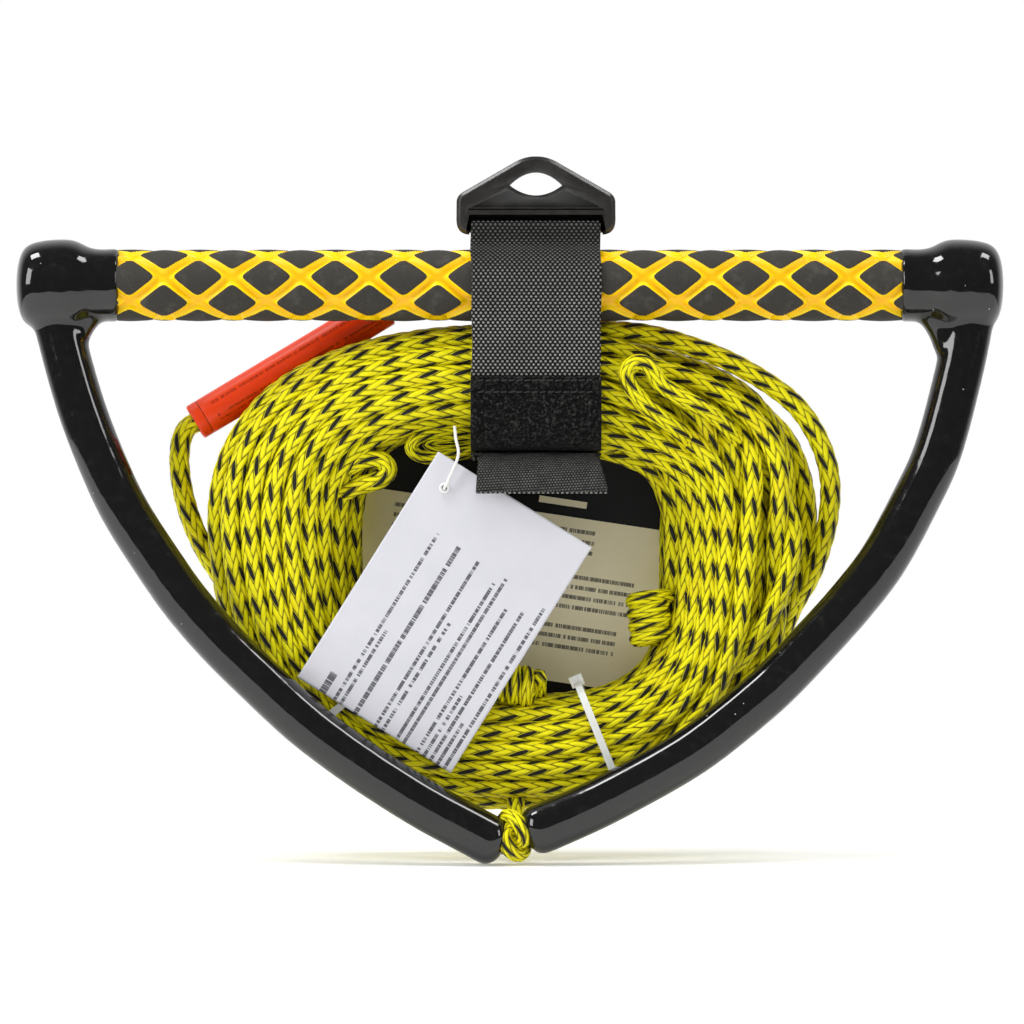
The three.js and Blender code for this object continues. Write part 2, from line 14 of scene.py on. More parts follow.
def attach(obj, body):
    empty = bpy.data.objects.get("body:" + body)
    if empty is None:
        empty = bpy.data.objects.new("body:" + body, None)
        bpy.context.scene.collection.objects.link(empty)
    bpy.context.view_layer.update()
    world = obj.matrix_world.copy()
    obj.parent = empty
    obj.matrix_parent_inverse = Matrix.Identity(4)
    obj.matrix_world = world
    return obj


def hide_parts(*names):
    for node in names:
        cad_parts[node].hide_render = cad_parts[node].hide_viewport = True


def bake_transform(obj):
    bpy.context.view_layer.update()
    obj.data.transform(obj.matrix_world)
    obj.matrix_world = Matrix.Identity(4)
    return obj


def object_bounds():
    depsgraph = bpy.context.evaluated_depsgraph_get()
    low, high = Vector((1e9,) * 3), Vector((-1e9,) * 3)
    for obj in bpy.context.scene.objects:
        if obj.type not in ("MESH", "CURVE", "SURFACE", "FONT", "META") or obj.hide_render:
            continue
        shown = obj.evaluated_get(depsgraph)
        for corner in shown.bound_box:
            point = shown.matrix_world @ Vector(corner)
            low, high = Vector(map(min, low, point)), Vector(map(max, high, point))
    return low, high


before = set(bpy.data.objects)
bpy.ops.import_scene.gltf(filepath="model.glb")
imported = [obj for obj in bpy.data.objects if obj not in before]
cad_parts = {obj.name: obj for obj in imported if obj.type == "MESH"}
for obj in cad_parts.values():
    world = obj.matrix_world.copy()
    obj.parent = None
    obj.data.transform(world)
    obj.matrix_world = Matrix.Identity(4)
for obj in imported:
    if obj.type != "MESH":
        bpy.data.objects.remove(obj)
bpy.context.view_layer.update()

MM = 0.001
rng = np.random.default_rng(11)

# ---------------------------------------------------------------- sizes
HANDLE_X, BAR_Y, BAR_Z = -10.1, -3.0, -43.8
GRIP_LENGTH, GRIP_RADIUS = 306.0, 13.8
ROPE_DIAMETER = 8.8
BRAID_PITCH = 68.0
SHORT_STEP = BRAID_PITCH / 64  # between the points of a short piece of rope
# The braid's carriers each way round, how far they stand out, and the step along the hank's rope.
CARRIERS, RELIEF, ROPE_STEP = 10, 0.5, 2.0
# The hank's rope is drawn a little thin, so that its turns show gaps. Its sections end after these turns.
DRAWN_RADIUS, LEAD_RADIUS = ROPE_DIAMETER / 2 - 0.55, 3.4
SECTION_ENDS = (12, 24)
DIAMOND_POWER = 7.0  # 1 gives the grip's cells straight-sided diamonds, more gives fuller ones
COIL_Y, COIL_DEPTH = 12.0, 52.0
STRAP_WIDTH, STRAP_THICKNESS, TAPE_THICKNESS = 50.6, 1.6, 1.2
TAG_WIDTH, TAG_LENGTH, TAG_TURN = 70.0, 103.0, math.radians(32)
TAG_CENTRE = np.array([-35.4, -18.0, -170.2])
TAG_PIVOT_Z = -122.1
CARD_CENTRE = (-8.0, 40.6, -150.0)
CARD_TURN = math.radians(-8.5)

# ---------------------------------------------------------------- patterns
WEAVE_ACROSS, WEAVE_ALONG = 1.85, 1.25
# Millimetres along the strap between which its painted glints fade, a painted shade where it is bent over the
# bar.
BEND_SHADE_SPAN = (101.0, 76.0)
HOOKS_ALONG, HOOKS_ACROSS = 1.05, 1.15
# Rows of plain dashes along the sleeve: place around it and half height.
SLEEVE_BARS = [(0.175, 0.014), (0.30, 0.011), (0.345, 0.009)]
# Rows of dashes on the tag: place across it, half height, and where the row ends along it.
TAG_ROWS = [
    (11.3, 1.5, 9.0), (16.8, 0.7, 76.0), (19.7, 0.7, 33.7), (26.4, 0.95, 76.0), (35.7, 0.7, 75.0),
    (38.9, 0.7, 48.9), (45.3, 0.7, 71.0), (48.4, 0.7, 75.0), (54.6, 0.7, 65.0), (57.7, 0.7, 27.4),
    (60.7, 0.7, 67.4), (63.8, 0.7, 18.7), (66.9, 0.7, 73.0),
]
TAG_EYE = (9.5, 92.3)
CARD_HEADER_Z, CARD_FOOT_Z, CARD_ROW = 18.2, -47.0, 4.0
CARD_BAR = (15.5, 23.5, 9.5, 1.3)  # a plain bar on the header: x, z and its half sizes
CARD_BLOCKS = [(15.0, 2.0, -50.0, 30.0), (-3.0, -20.0, -50.0, 48.0), (-23.0, -36.0, -50.0, 44.0)]

# ---------------------------------------------------------------- camera
TARGET = Vector((-9.3, 0.0, -131.9)) * MM
CAMERA_DISTANCE_M = 3.0
VIEW_WIDTH_M = 0.3983
ELEVATION = math.radians(1.5)


def make_camera():
    data = bpy.data.cameras.new("camera")
    data.sensor_width = 36.0
    data.lens = data.sensor_width * CAMERA_DISTANCE_M / VIEW_WIDTH_M
    camera = bpy.data.objects.new("camera", data)
    back = Vector((0, -math.cos(ELEVATION), math.sin(ELEVATION)))
    camera.location = TARGET + back * CAMERA_DISTANCE_M
    camera.rotation_euler = (-back).to_track_quat("-Z", "Y").to_euler()
    bpy.context.scene.collection.objects.link(camera)
    bpy.context.scene.camera = camera


make_camera()


# ---------------------------------------------------------------- material building
def arithmetic(operation, swapped=False):
    """An operator of Value that adds one math node."""
    def apply(value, other=0.0):
        return value.finish.math(operation, *((other, value) if swapped else (value, other)))
    return apply


class Value:
    """An output of a node. Arithmetic on it adds the nodes that work it out."""

    def __init__(self, finish, socket):
        self.finish, self.socket = finish, socket

    __add__ = __radd__ = arithmetic("ADD")
    __mul__ = __rmul__ = arithmetic("MULTIPLY")
    __sub__, __rsub__ = arithmetic("SUBTRACT"), arithmetic("SUBTRACT", swapped=True)
    __truediv__, __pow__ = arithmetic("DIVIDE"), arithmetic("POWER")
    __lt__, __gt__ = arithmetic("LESS_THAN"), arithmetic("GREATER_THAN")
    __mod__, __abs__ = arithmetic("FLOORED_MODULO"), arithmetic("ABSOLUTE")
    floor, fract, sine = arithmetic("FLOOR"), arithmetic("FRACT"), arithmetic("SINE")
    largest, smallest = arithmetic("MAXIMUM"), arithmetic("MINIMUM")


class Finish:
    """A node material: a Principled shader and short calls for the nodes that feed it."""

    def __init__(self, name, color=(0.5,) * 3, **inputs):
        self.material = bpy.data.materials.new(name)
        self.material.use_nodes = True
        self.tree = self.material.node_tree
        self.surface = self.tree.nodes["Principled BSDF"]
        self.surface.inputs["Base Color"].default_value = (*color, 1)
        for key, value in inputs.items():
            self.surface.inputs[key.replace("_", " ")].default_value = value
        self.height = None

    def feed(self, socket, value):
        if isinstance(value, Value):
            value = value.socket
        if isinstance(value, bpy.types.NodeSocket):
            self.tree.links.new(value, socket)
        elif isinstance(value, (tuple, list)) and len(value) == 3 and socket.type == "RGBA":
            socket.default_value = (*value, 1)
        else:
            socket.default_value = value

    def node(self, kind, **settings):
        made = self.tree.nodes.new(kind)
        for key, value in settings.items():
            setattr(made, key, value)
        return made

    def math(self, operation, a, b=0.0):
        return self.worked("ShaderNodeMath", {0: a, 1: b}, operation=operation)

    def worked(self, kind, inputs, output=0, **settings):
        """The output of a new node with the inputs fed."""
        made = self.node(kind, **settings)
        for key, value in inputs.items():
            self.feed(made.inputs[key], value)
        return Value(self, made.outputs[output])

    def mix(self, share, a, b):
        return self.worked("ShaderNodeMix", {"Factor": share, 6: a, 7: b}, 2, data_type="RGBA")

    def between(self, share, a, b):
        """A number from a to b."""
        return self.worked("ShaderNodeMapRange", {"Value": share, "To Min": a, "To Max": b})

    def step(self, value, low, high):
        """0 below low, 1 above high, and smooth between."""
        return self.worked("ShaderNodeMapRange", {"Value": value, "From Min": low, "From Max": high},
                           interpolation_type="SMOOTHSTEP")

    def near(self, value, centre, half):
        """1 within half of the centre, 0 elsewhere."""
        return self.worked("ShaderNodeMath", {0: value, 1: centre, 2: half}, operation="COMPARE")

    def cell(self, value):
        """From -1 to 1 across each whole step of the value."""
        return value.fract() * 2.0 - 1.0

    def place(self, scale=1.0, kind="Object", stretch=(1, 1, 1)):
        """Object or UV coordinates times a scale."""
        source = self.node("ShaderNodeTexCoord").outputs[kind]
        return self.worked("ShaderNodeMapping", {"Vector": source, "Scale": [scale * s for s in stretch]})

    def parts(self, vector):
        made = self.worked("ShaderNodeSeparateXYZ", {0: vector}).socket.node
        return [Value(self, output) for output in made.outputs]

    def joined(self, x, y, z=0.0):
        return self.worked("ShaderNodeCombineXYZ", {0: x, 1: y, 2: z})

    def noise(self, vector, scale, detail=2.0, roughness=0.5):
        return self.worked("ShaderNodeTexNoise",
                           {"Vector": vector, "Scale": scale, "Detail": detail, "Roughness": roughness})

    def cells(self, vector, scale):
        return self.worked("ShaderNodeTexVoronoi", {"Vector": vector, "Scale": scale}, "Distance")

    def color(self, value):
        self.feed(self.surface.inputs["Base Color"], value)

    def roughness(self, value):
        self.feed(self.surface.inputs["Roughness"], value)

    def bump(self, height, distance_mm, strength=1.0):
        inputs = {"Strength": strength, "Distance": distance_mm * MM, "Height": height}
        if self.height is not None:
            inputs["Normal"] = self.height
        self.height = self.worked("ShaderNodeBump", inputs)
        self.feed(self.surface.inputs["Normal"], self.height)


def rope_finish():
    """Hollow braid of 20 carriers, each over two and under two, half of one way's ten black."""
    f = Finish("rope", Specular_IOR_Level=0.3)
    u, v, _ = f.parts(f.place(kind="UV"))
    a = (v + u) * CARRIERS
    b = (v - u) * CARRIERS
    ia, ib = (a.floor(), b.floor())
    fa, fb = (a - ia, b - ib)
    turn = (ia + ib) % 4
    over = turn < 1.5
    under = 1.0 - over

    def pick(first, second):
        return first * over + second * under

    wander = f.noise(f.place(1.0), 260.0, 1.0)
    across = pick(fa, fb)
    along = pick((turn + fb) * 0.5, (turn - 2.0 + fa) * 0.5)
    middle = across * 2.0 - 1.0
    crown = 1.0 - middle * middle
    arch = (along * math.pi).sine()
    height = crown ** 0.6 * (arch * 0.6 + 0.4)
    black = over * (ia % 2 < 0.5)
    fleck = crown * 0.9 + arch * 0.35
    black = black * f.step(fleck, 0.66, 0.78)
    fibre = f.noise(f.joined(across * 6.0, along * 0.8, ia + ib * 7.3), 1.6, 3.0, 0.6)
    patch = f.noise(f.place(70.0), 1.0, 2.0)
    yellow = f.mix(fibre, (0.80, 0.70, 0.001), (1.0, 0.95, 0.003))
    yellow = f.mix(f.step(patch, 0.45, 0.75), yellow, (0.86, 0.74, 0.002))
    dark = f.mix(fibre, (0.002,) * 3, (0.014, 0.014, 0.013))
    # painted shade: the creases between the carriers are darkened to dark olive, and to near black on the
    # black carriers
    shade = f.step(height + wander * 0.3, 0.2, 0.78)
    base = f.mix(black, yellow, dark)
    f.color(f.mix(shade, f.mix(black, (0.09, 0.07, 0.0), (0.001,) * 3), base))
    f.roughness(f.between(fibre, 0.38, 0.62))
    f.bump(height + fibre * 0.3, 0.8, 1.0)
    return f.material


def foam_finish():
    """Grip foam: charcoal skin on the diamonds, yellow inner layer in the grooves, with painted shade at the
    groove bottoms.
    """
    f = Finish("grip_foam", Specular_IOR_Level=0.3)
    a, b, _ = f.parts(f.place(kind="UV"))
    edges = []
    for value in (a, b):
        part = (value + 0.5).fract() - 0.5
        edges.append(abs(part * 2.0) ** DIAMOND_POWER)
    reach = (edges[0] + edges[1]) ** (1.0 / DIAMOND_POWER)
    grain = f.noise(f.place(1.0), 1500.0, 3.0, 0.7)
    mottle = f.noise(f.place(1.0), 160.0, 3.0, 0.6)
    charcoal = f.mix(grain, (0.022, 0.020, 0.017), (0.060, 0.056, 0.048))
    charcoal = f.mix(f.step(mottle, 0.5, 0.8), charcoal, (0.070, 0.066, 0.057))
    # painted shade: the yellow turns orange towards the bottom of each groove
    yellow = f.mix(f.step(reach, 0.80, 1.02), (1.0, 0.69, 0.003), (0.95, 0.48, 0.001))
    yellow = f.mix(f.step(mottle, 0.4, 0.8), yellow, (1.0, 0.62, 0.002))
    edge = f.step(reach + grain * 0.02, 0.762, 0.775)
    f.color(f.mix(edge, charcoal, yellow))
    f.roughness(f.between(edge, 0.85, 0.32))
    f.bump(grain, 0.12, 0.6)
    return f.material


def gloss_finish():
    """Moulded vinyl dip: glossy black with a faint ripple, scuffs and dust specks."""
    f = Finish("gloss_vinyl", (0.006, 0.006, 0.0065), Specular_IOR_Level=0.55)
    place = f.place(1.0)
    ripple = f.noise(place, 45.0, 2.0)
    scuff = f.noise(place, 260.0, 5.0, 0.75)
    dust = f.cells(place, 230.0)
    size = f.noise(place, 90.0, 1.0)
    speck = (dust < 0.055) * f.step(size, 0.6, 0.64)
    haze = f.step(scuff, 0.48, 0.82)
    f.color(f.mix(speck, f.mix(haze, (0.005,) * 3, (0.014, 0.014, 0.013)), (0.55,) * 3))
    f.roughness(f.between(haze, 0.06, 0.24))
    f.bump(ripple, 0.5, 0.35)
    return f.material


def hanger_finish():
    f = Finish("hanger_plastic", Specular_IOR_Level=0.8)
    place = f.place(1.0)
    grain = f.noise(place, 1900.0, 2.0, 0.6)
    patch = f.noise(place, 120.0, 4.0, 0.65)
    f.color(f.mix(f.step(patch, 0.4, 0.7), (0.014, 0.013, 0.012), (0.026, 0.024, 0.021)))
    f.roughness(f.between(patch, 0.26, 0.42))
    f.bump(grain, 0.05, 0.35)
    return f.material


def webbing_finish():
    """Woven nylon: staggered ribs, with painted highlights glinting on the floats."""
    f = Finish("webbing", Specular_IOR_Level=0.35)
    u, v, _ = f.parts(f.place(kind="UV"))
    column = v / WEAVE_ACROSS
    row = u / WEAVE_ALONG
    shift = row.floor() % 2.0 * 0.5
    fc, fr = (f.cell(column + shift), f.cell(row))
    ring = fc * fc * 1.6 + fr * fr * 0.8
    bead = 1.0 - ring.smallest(1.0)
    thread = f.noise(f.joined(column * 5.0, row), 2.5, 2.0)
    # painted highlight: bright glints on the floats, put into the colour
    painted_glint = f.step(bead, 0.3, 0.9) * f.between(thread, 0.1, 1.5)
    painted_glint = painted_glint * f.between(f.noise(f.place(1.0), 55.0, 2.0), 0.45, 1.25)
    # painted shade: the glints dim over the stretch bent over the bar
    painted_glint = painted_glint * f.between(f.step(u, *BEND_SHADE_SPAN), 0.35, 1.1)
    # the floats' crowns are also painted a little lighter than the dips between them
    f.color(f.mix(painted_glint, f.mix(bead, (0.001,) * 3, (0.006,) * 3), (0.36, 0.36, 0.34)))
    f.roughness(f.between(bead, 0.85, 0.42))
    f.bump(bead + thread * 0.3, 0.45, 1.0)
    return f.material


def fuzz_finish():
    """Loop tape: a matt nap of fine curled loops."""
    f = Finish("loop_nap", Specular_IOR_Level=0.1, Sheen_Weight=0.04, Roughness=0.95)
    place = f.place(1.0)
    nap = f.noise(place, 900.0, 5.0, 0.75)
    clump = f.noise(place, 330.0, 3.0, 0.6)
    f.color(f.mix(f.step(nap, 0.47, 0.7) * f.between(clump, 0.1, 1.9), (0.002,) * 3, (0.055, 0.055, 0.052)))
    f.bump(nap + clump * 0.7, 0.9, 1.0)
    return f.material


def hook_finish():
    """Hook tape: nylon base with close staggered rows of small hooks, shown as painted highlights glinting on
    them.
    """
    f = Finish("hook_nylon", Specular_IOR_Level=0.3)
    u, v, _ = f.parts(f.place(kind="UV"))
    row = (u + v * 0.06) / HOOKS_ALONG
    shift = row.floor() % 2.0 * 0.5
    column = v / HOOKS_ACROSS + shift
    fc, fr = f.cell(column), f.cell(row)
    dot = 1.0 - (fc * fc + fr * fr).smallest(1.0)
    light = f.noise(f.joined(column.floor(), row.floor()), 7.7, 2.0)
    patch = f.noise(f.place(1.0), 160.0, 2.0)
    # painted highlight: the hooks' glints, put into the colour
    painted_glint = f.step(dot, 0.2, 0.8) * f.between(light, 0.0, 2.0)
    painted_glint = painted_glint * f.between(patch, 0.3, 1.5)
    f.color(f.mix(painted_glint, (0.003,) * 3, (0.105, 0.105, 0.10)))
    f.roughness(f.between(dot, 0.75, 0.45))
    f.bump(dot, 0.5, 1.0)
    return f.material


def thread_finish():
    f = Finish("sewing_thread", (0.02,) * 3, Roughness=0.6)
    f.bump(f.noise(f.place(1.0, stretch=(1, 6, 6)), 900.0, 2.0), 0.2)
    return f.material


def sleeve_finish():
    """Orange vinyl tube with a scored ring near its lower end and dashes in place of print."""
    f = Finish("orange_vinyl", Specular_IOR_Level=0.35)
    along, around, _ = f.parts(f.place(kind="UV"))
    cloud = f.noise(f.place(1.0), 55.0, 3.0)
    grain = f.noise(f.place(1.0), 800.0, 2.0)
    ring = abs(along - 4.4) < 0.14
    base = f.mix(cloud, (0.78, 0.040, 0.002), (0.95, 0.065, 0.003))
    for number, (place, half) in enumerate(SLEEVE_BARS):
        bar = f.near(around, place, half)
        word = f.noise(f.joined(along * 0.5, number * 3.7), 1.0, 1.0)
        letter = f.noise(f.joined(along * 2.2, number * 5.9), 1.0, 1.0)
        held = (along > 9.0) * f.step(word, 0.4, 0.44)
        bar = bar * held * f.step(letter, 0.4, 0.5)
        base = f.mix(bar * 0.6, base, (0.16, 0.008, 0.001))
    f.color(f.mix(ring, base, (0.10, 0.006, 0.002)))
    f.roughness(f.between(cloud, 0.32, 0.5))
    f.bump(grain, 0.05, 0.4)
    return f.material


def nylon_finish():
    """Milky nylon of the ties, with fine ratchet teeth."""
    f = Finish("milky_nylon", (0.80, 0.79, 0.74), Roughness=0.35, Subsurface_Weight=0.15)
    place = f.place(1.0)
    cloud = f.noise(place, 300.0, 3.0)
    f.color(f.mix(cloud, (0.70, 0.69, 0.64), (0.90, 0.89, 0.85)))
    f.bump(f.noise(f.place(1.0, stretch=(1, 1, 4)), 700.0, 1.0), 0.15, 0.5)
    return f.material


def string_finish():
    f = Finish("white_string", (0.82, 0.82, 0.80), Roughness=0.7)
    f.bump(f.noise(f.place(1.0), 2500.0, 2.0), 0.2)
    return f.material


def paper_finish():
    """White tag paper with rows of plain dashes in place of print, and a painted dark disc for the shade in
    the eye's hole.
    """
    f = Finish("tag_paper", Specular_IOR_Level=0.25)
    across, along, _ = f.parts(f.place(kind="UV"))
    tone = f.noise(f.place(1.0), 60.0, 4.0, 0.6)
    fibre = f.noise(f.place(1.0), 1600.0, 3.0, 0.7)
    white = f.mix(tone, (0.58, 0.58, 0.63), (0.68, 0.68, 0.72))
    ink, number = 0.0, 0.0
    for index, (centre, half, end) in enumerate(TAG_ROWS):
        held = f.near(across, centre, half) * (along < end)
        ink = ink + held
        number = number + held * (index * 5.3)
    word = f.noise(f.joined(along * 0.55, number), 1.0, 1.0)
    letter = f.noise(f.joined(along * 1.9, number), 1.0, 1.0)
    mark = f.step(word, 0.36, 0.4) * f.step(letter, 0.33, 0.5)
    ink = ink * mark
    # painted shade: a dark disc at the eye stands for the hole and the shade seen through it
    from_eye = abs(across - TAG_EYE[0]) ** 2.0 + abs(along - TAG_EYE[1]) ** 2.0
    ink = ink.largest(from_eye < 1.0)
    f.color(f.mix(ink * 0.9, white, (0.05, 0.05, 0.06)))
    f.roughness(f.between(tone, 0.5, 0.7))
    f.bump(fibre + tone * 2.0, 0.08, 0.6)
    return f.material


def card_finish():
    """Beige card with a black header, a black foot and rows of plain dashes."""
    f = Finish("printed_card", Specular_IOR_Level=0.25)
    moved = f.worked("ShaderNodeVectorMath", {0: f.place(1.0 / MM), 1: CARD_CENTRE}, operation="SUBTRACT")
    turn = {"Vector": moved, "Axis": (0, 1, 0), "Angle": CARD_TURN}
    x, _, z = f.parts(f.worked("ShaderNodeVectorRotate", turn, rotation_type="AXIS_ANGLE"))
    tone = f.noise(f.place(1.0), 35.0, 4.0, 0.6)
    speckle = f.noise(f.place(1.0), 1400.0, 2.0)
    beige = f.mix(tone, (0.84, 0.76, 0.53), (1.0, 0.94, 0.74))
    beige = f.mix(speckle * 0.2, beige, (0.62, 0.55, 0.38))
    inks = []
    for top, bottom, left, right in CARD_BLOCKS:
        row = (top - z) / CARD_ROW
        number = row.floor()
        line = f.near(row.fract(), 0.5, 0.2)
        inside = (z < top) * (z > bottom)
        held = (x > left) * (x < right)
        word = f.noise(f.joined(x * 0.55, number * 8.3), 1.0, 1.0)
        letter = f.noise(f.joined(x * 2.6, number * 4.9), 1.0, 1.0)
        mark = (word > 0.38) * f.step(letter, 0.35, 0.5)
        inks.append(line * mark * (inside * held))
    ink = inks[0]
    for other in inks[1:]:
        ink = ink.largest(other)
    printed = f.mix(ink * 0.85, beige, (0.05, 0.045, 0.04))
    black = (z > CARD_HEADER_Z).largest(z < CARD_FOOT_Z)
    bar_x, bar_z, half_x, half_z = CARD_BAR
    black = black - f.near(z, bar_z, half_z) * f.near(x, bar_x, half_x)
    f.color(f.mix(black, printed, f.mix(tone, (0.003, 0.003, 0.004), (0.009, 0.009, 0.011))))
    f.roughness(f.between(tone, 0.28, 0.45))
    f.bump(speckle, 0.04, 0.4)
    return f.material


def plain_finish(name, dark, light, rough=(0.4, 0.6), scale=400.0, **inputs):
    """Small hidden pieces: two tones with a fine grain."""
    f = Finish(name, **inputs)
    grain = f.noise(f.place(1.0), scale, 3.0)
    f.color(f.mix(grain, dark, light))
    f.roughness(f.between(grain, *rough))
    f.bump(grain, 0.1, 0.4)
    return f.material


# ---------------------------------------------------------------- mesh building
def placed(name, mesh):
    """An object of the mesh, in the scene."""
    made = bpy.data.objects.new(name, mesh)
    bpy.context.scene.collection.objects.link(made)
    return made


def piece(name, points, quads, uv, material, body, stands_for=()):
    """A mesh from points in millimetres, quads and a UV pair for each corner of each quad."""
    mesh = bpy.data.meshes.new(name)
    points, quads = np.asarray(points, float), np.asarray(quads, np.int32)
    mesh.vertices.add(len(points))
    mesh.vertices.foreach_set("co", (points * MM).astype(np.float32).ravel())
    mesh.loops.add(quads.size)
    mesh.loops.foreach_set("vertex_index", quads.ravel())
    mesh.polygons.add(len(quads))
    mesh.polygons.foreach_set("loop_start", np.arange(0, quads.size, 4, dtype=np.int32))
    mesh.polygons.foreach_set("use_smooth", np.ones(len(quads), bool))
    layer = mesh.uv_layers.new(name="UVMap")
    layer.data.foreach_set("uv", np.asarray(uv, np.float32).ravel())
    mesh.materials.append(material)
    mesh.update(calc_edges=True)
    mesh.validate()
    made = placed(name, mesh)
    settle(made, body, stands_for)
    return made


def settle(made, body, stands_for=()):
    """Gives a finished piece its body and hides the CAD nodes it stands for."""
    if body:
        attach(made, body)
    if stands_for:
        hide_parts(*stands_for)


def curve_through(points, per_span=10):
    """Centripetal Catmull-Rom curve through the points."""
    p = np.asarray(points, float)
    p = np.vstack([2 * p[0] - p[1], p, 2 * p[-1] - p[-2]])
    p0, p1, p2, p3 = p[:-3, None], p[1:-2, None], p[2:-1, None], p[3:, None]

    def gap(a, b):
        return np.maximum(np.linalg.norm(b - a, axis=2, keepdims=True), 1e-6) ** 0.5

    t1 = gap(p0, p1)
    t2 = t1 + gap(p1, p2)
    t3 = t2 + gap(p2, p3)
    share = np.arange(per_span)[None, :, None] / per_span
    t = t1 + (t2 - t1) * share
    a1 = (t1 - t) / t1 * p0 + t / t1 * p1
    a2 = (t2 - t) / (t2 - t1) * p1 + (t - t1) / (t2 - t1) * p2
    a3 = (t3 - t) / (t3 - t2) * p2 + (t - t2) / (t3 - t2) * p3
    b1 = (t2 - t) / t2 * a1 + t / t2 * a2
    b2 = (t3 - t) / (t3 - t1) * a2 + (t - t1) / (t3 - t1) * a3
    line = (t2 - t) / (t2 - t1) * b1 + (t - t1) / (t2 - t1) * b2
    return np.vstack([line.reshape(-1, p.shape[1]), p[-2]])


def lengths_along(line):
    return np.concatenate([[0], np.cumsum(np.linalg.norm(np.diff(line, axis=0), axis=1))])


def even(line, step):
    """The line again, with points a step apart."""
    along = lengths_along(line)
    at = np.linspace(0, along[-1], max(3, round(along[-1] / step) + 1))
    return np.stack([np.interp(at, along, line[:, k]) for k in range(line.shape[1])], axis=1)


def frames_of(line, first=(0.0, 0.0, 1.0)):
    """Two unit vectors across the line at each point, carried along it without twist."""
    along = np.gradient(line, axis=0)
    along /= np.linalg.norm(along, axis=1, keepdims=True)
    side = np.empty_like(line)
    last = np.array(first, float)
    for i, t in enumerate(along):
        last = last - t * (last @ t)
        size = np.linalg.norm(last)
        if size < 1e-6:
            last = np.cross(t, (1.0, 0.0, 0.0))
            size = np.linalg.norm(last)
        last = last / size
        side[i] = last
    return side, np.cross(along, side)


def around_quads(uv, closed=False):
    """Quads over rings of points, and their corners' UV pairs. uv has a column more than a ring has points."""
    rings, sides = uv.shape[0], uv.shape[1] - 1
    i, j = (k.ravel() for k in np.meshgrid(np.arange(rings - 1 + closed), np.arange(sides), indexing="ij"))
    k, after = (i + 1) % rings, (j + 1) % sides
    quads = np.stack([i * sides + j, i * sides + after, k * sides + after, k * sides + j], axis=1)
    return quads, np.stack([uv[i, j], uv[i, j + 1], uv[k, j + 1], uv[k, j]], axis=1)


def length_and_turn(along, sides):
    """UV pairs: the length along and the share of a turn around."""
    return np.stack(np.meshgrid(along, np.arange(sides + 1) / sides, indexing="ij"), axis=-1)


def tube(name, line, radius, sides, material, body, stands_for=(), relief=None, u_scale=1.0):
    """A closed tube along the line. radius is a number or one for each point; relief(u, v) adds to it."""
    side, up = frames_of(line)
    along = lengths_along(line) * u_scale
    v = np.arange(sides) / sides
    size = np.broadcast_to(np.asarray(radius, float), (len(line),))[:, None] * np.ones(sides)
    if relief is not None:
        size = size + relief(along[:, None], v[None, :])
    angle = 2 * math.pi * v
    rings = (
        line[:, None]
        + (size * np.cos(angle))[..., None] * side[:, None]
        + (size * np.sin(angle))[..., None] * up[:, None]
    )
    points = np.vstack([rings.reshape(-1, 3), line[0], line[-1]])
    quads, uv = around_quads(length_and_turn(along, sides))
    caps, cap_uv = end_caps(len(line), sides, along)
    quads, uv = np.vstack([quads, caps]), np.vstack([uv, cap_uv])
    return piece(name, points, quads, uv, material, body, stands_for)


def end_caps(rings, sides, along):
    """Quads that close both ends of a tube of an even number of sides, fanned about its end points."""
    count = rings * sides
    caps, uv = [], []
    for centre, start, place, turn in ((count, 0, along[0], 1), (count + 1, count - sides, along[-1], -1)):
        for j in range(0, sides, 2):
            corner = [centre, start + (j + 2) % sides, start + j + 1, start + j][:: turn]
            caps.append(corner)
            uv.append([[place, j / sides]] * 4)
    return np.array(caps), np.array(uv, float)


def slab(name, centre, normal, thickness, uv_of, material, body, stands_for=(), rise=None):
    """A closed sheet of even thickness over a grid of centre points. rise lifts its front face."""
    rows, cols = centre.shape[:2]
    i, j = np.meshgrid(np.arange(rows), np.arange(cols), indexing="ij")
    edge = (i == 0) | (j == 0) | (i == rows - 1) | (j == cols - 1)
    half = np.where(edge, 0.3, 0.5)[..., None] * thickness
    lift = 0 if rise is None else rise[..., None]
    front, back = centre + normal * (half + lift), centre - normal * half
    points = np.vstack([front.reshape(-1, 3), back.reshape(-1, 3)])
    at = i * cols + j
    a, b, c, d = (at[:-1, :-1], at[:-1, 1:], at[1:, 1:], at[1:, :-1])
    faces = np.stack([a, b, c, d], axis=-1).reshape(-1, 4)
    below = faces[:, ::-1] + rows * cols
    rim = np.concatenate([at[0, :-1], at[:-1, -1], at[-1, :0:-1], at[:0:-1, 0]])
    after = np.roll(rim, -1)
    sides = np.stack([after, rim, rim + rows * cols, after + rows * cols], axis=-1)
    quads = np.vstack([faces, below, sides])
    flat_uv = uv_of.reshape(-1, 2)
    return piece(name, points, quads, flat_uv[quads % (rows * cols)], material, body, stands_for)


def joined_mesh(name, parts, modifiers, material, body, stands_for=()):
    """One mesh out of several, put through modifiers that are then applied."""
    mesh = bpy.data.meshes.new(name)
    work = bmesh.new()
    for part in parts:
        work.from_mesh(part.data)
        bpy.data.objects.remove(part)
    work.to_mesh(mesh)
    work.free()
    made = placed(name, mesh)
    for kind, settings in modifiers:
        modifier = made.modifiers.new(kind, kind)
        for key, value in settings.items():
            setattr(modifier, key, value)
    final = bpy.data.meshes.new_from_object(made.evaluated_get(bpy.context.evaluated_depsgraph_get()))
    made.modifiers.clear()
    made.data = final
    final.materials.clear()
    final.materials.append(material)
    final.polygons.foreach_set("use_smooth", np.ones(len(final.polygons), bool))
    settle(made, body, stands_for)
    return made


def loose_tube(line, radius, sides=20):
    """A tube that is still to be joined, riding on nothing."""
    return tube("raw", line, radius, sides, finishes["gloss"], None)


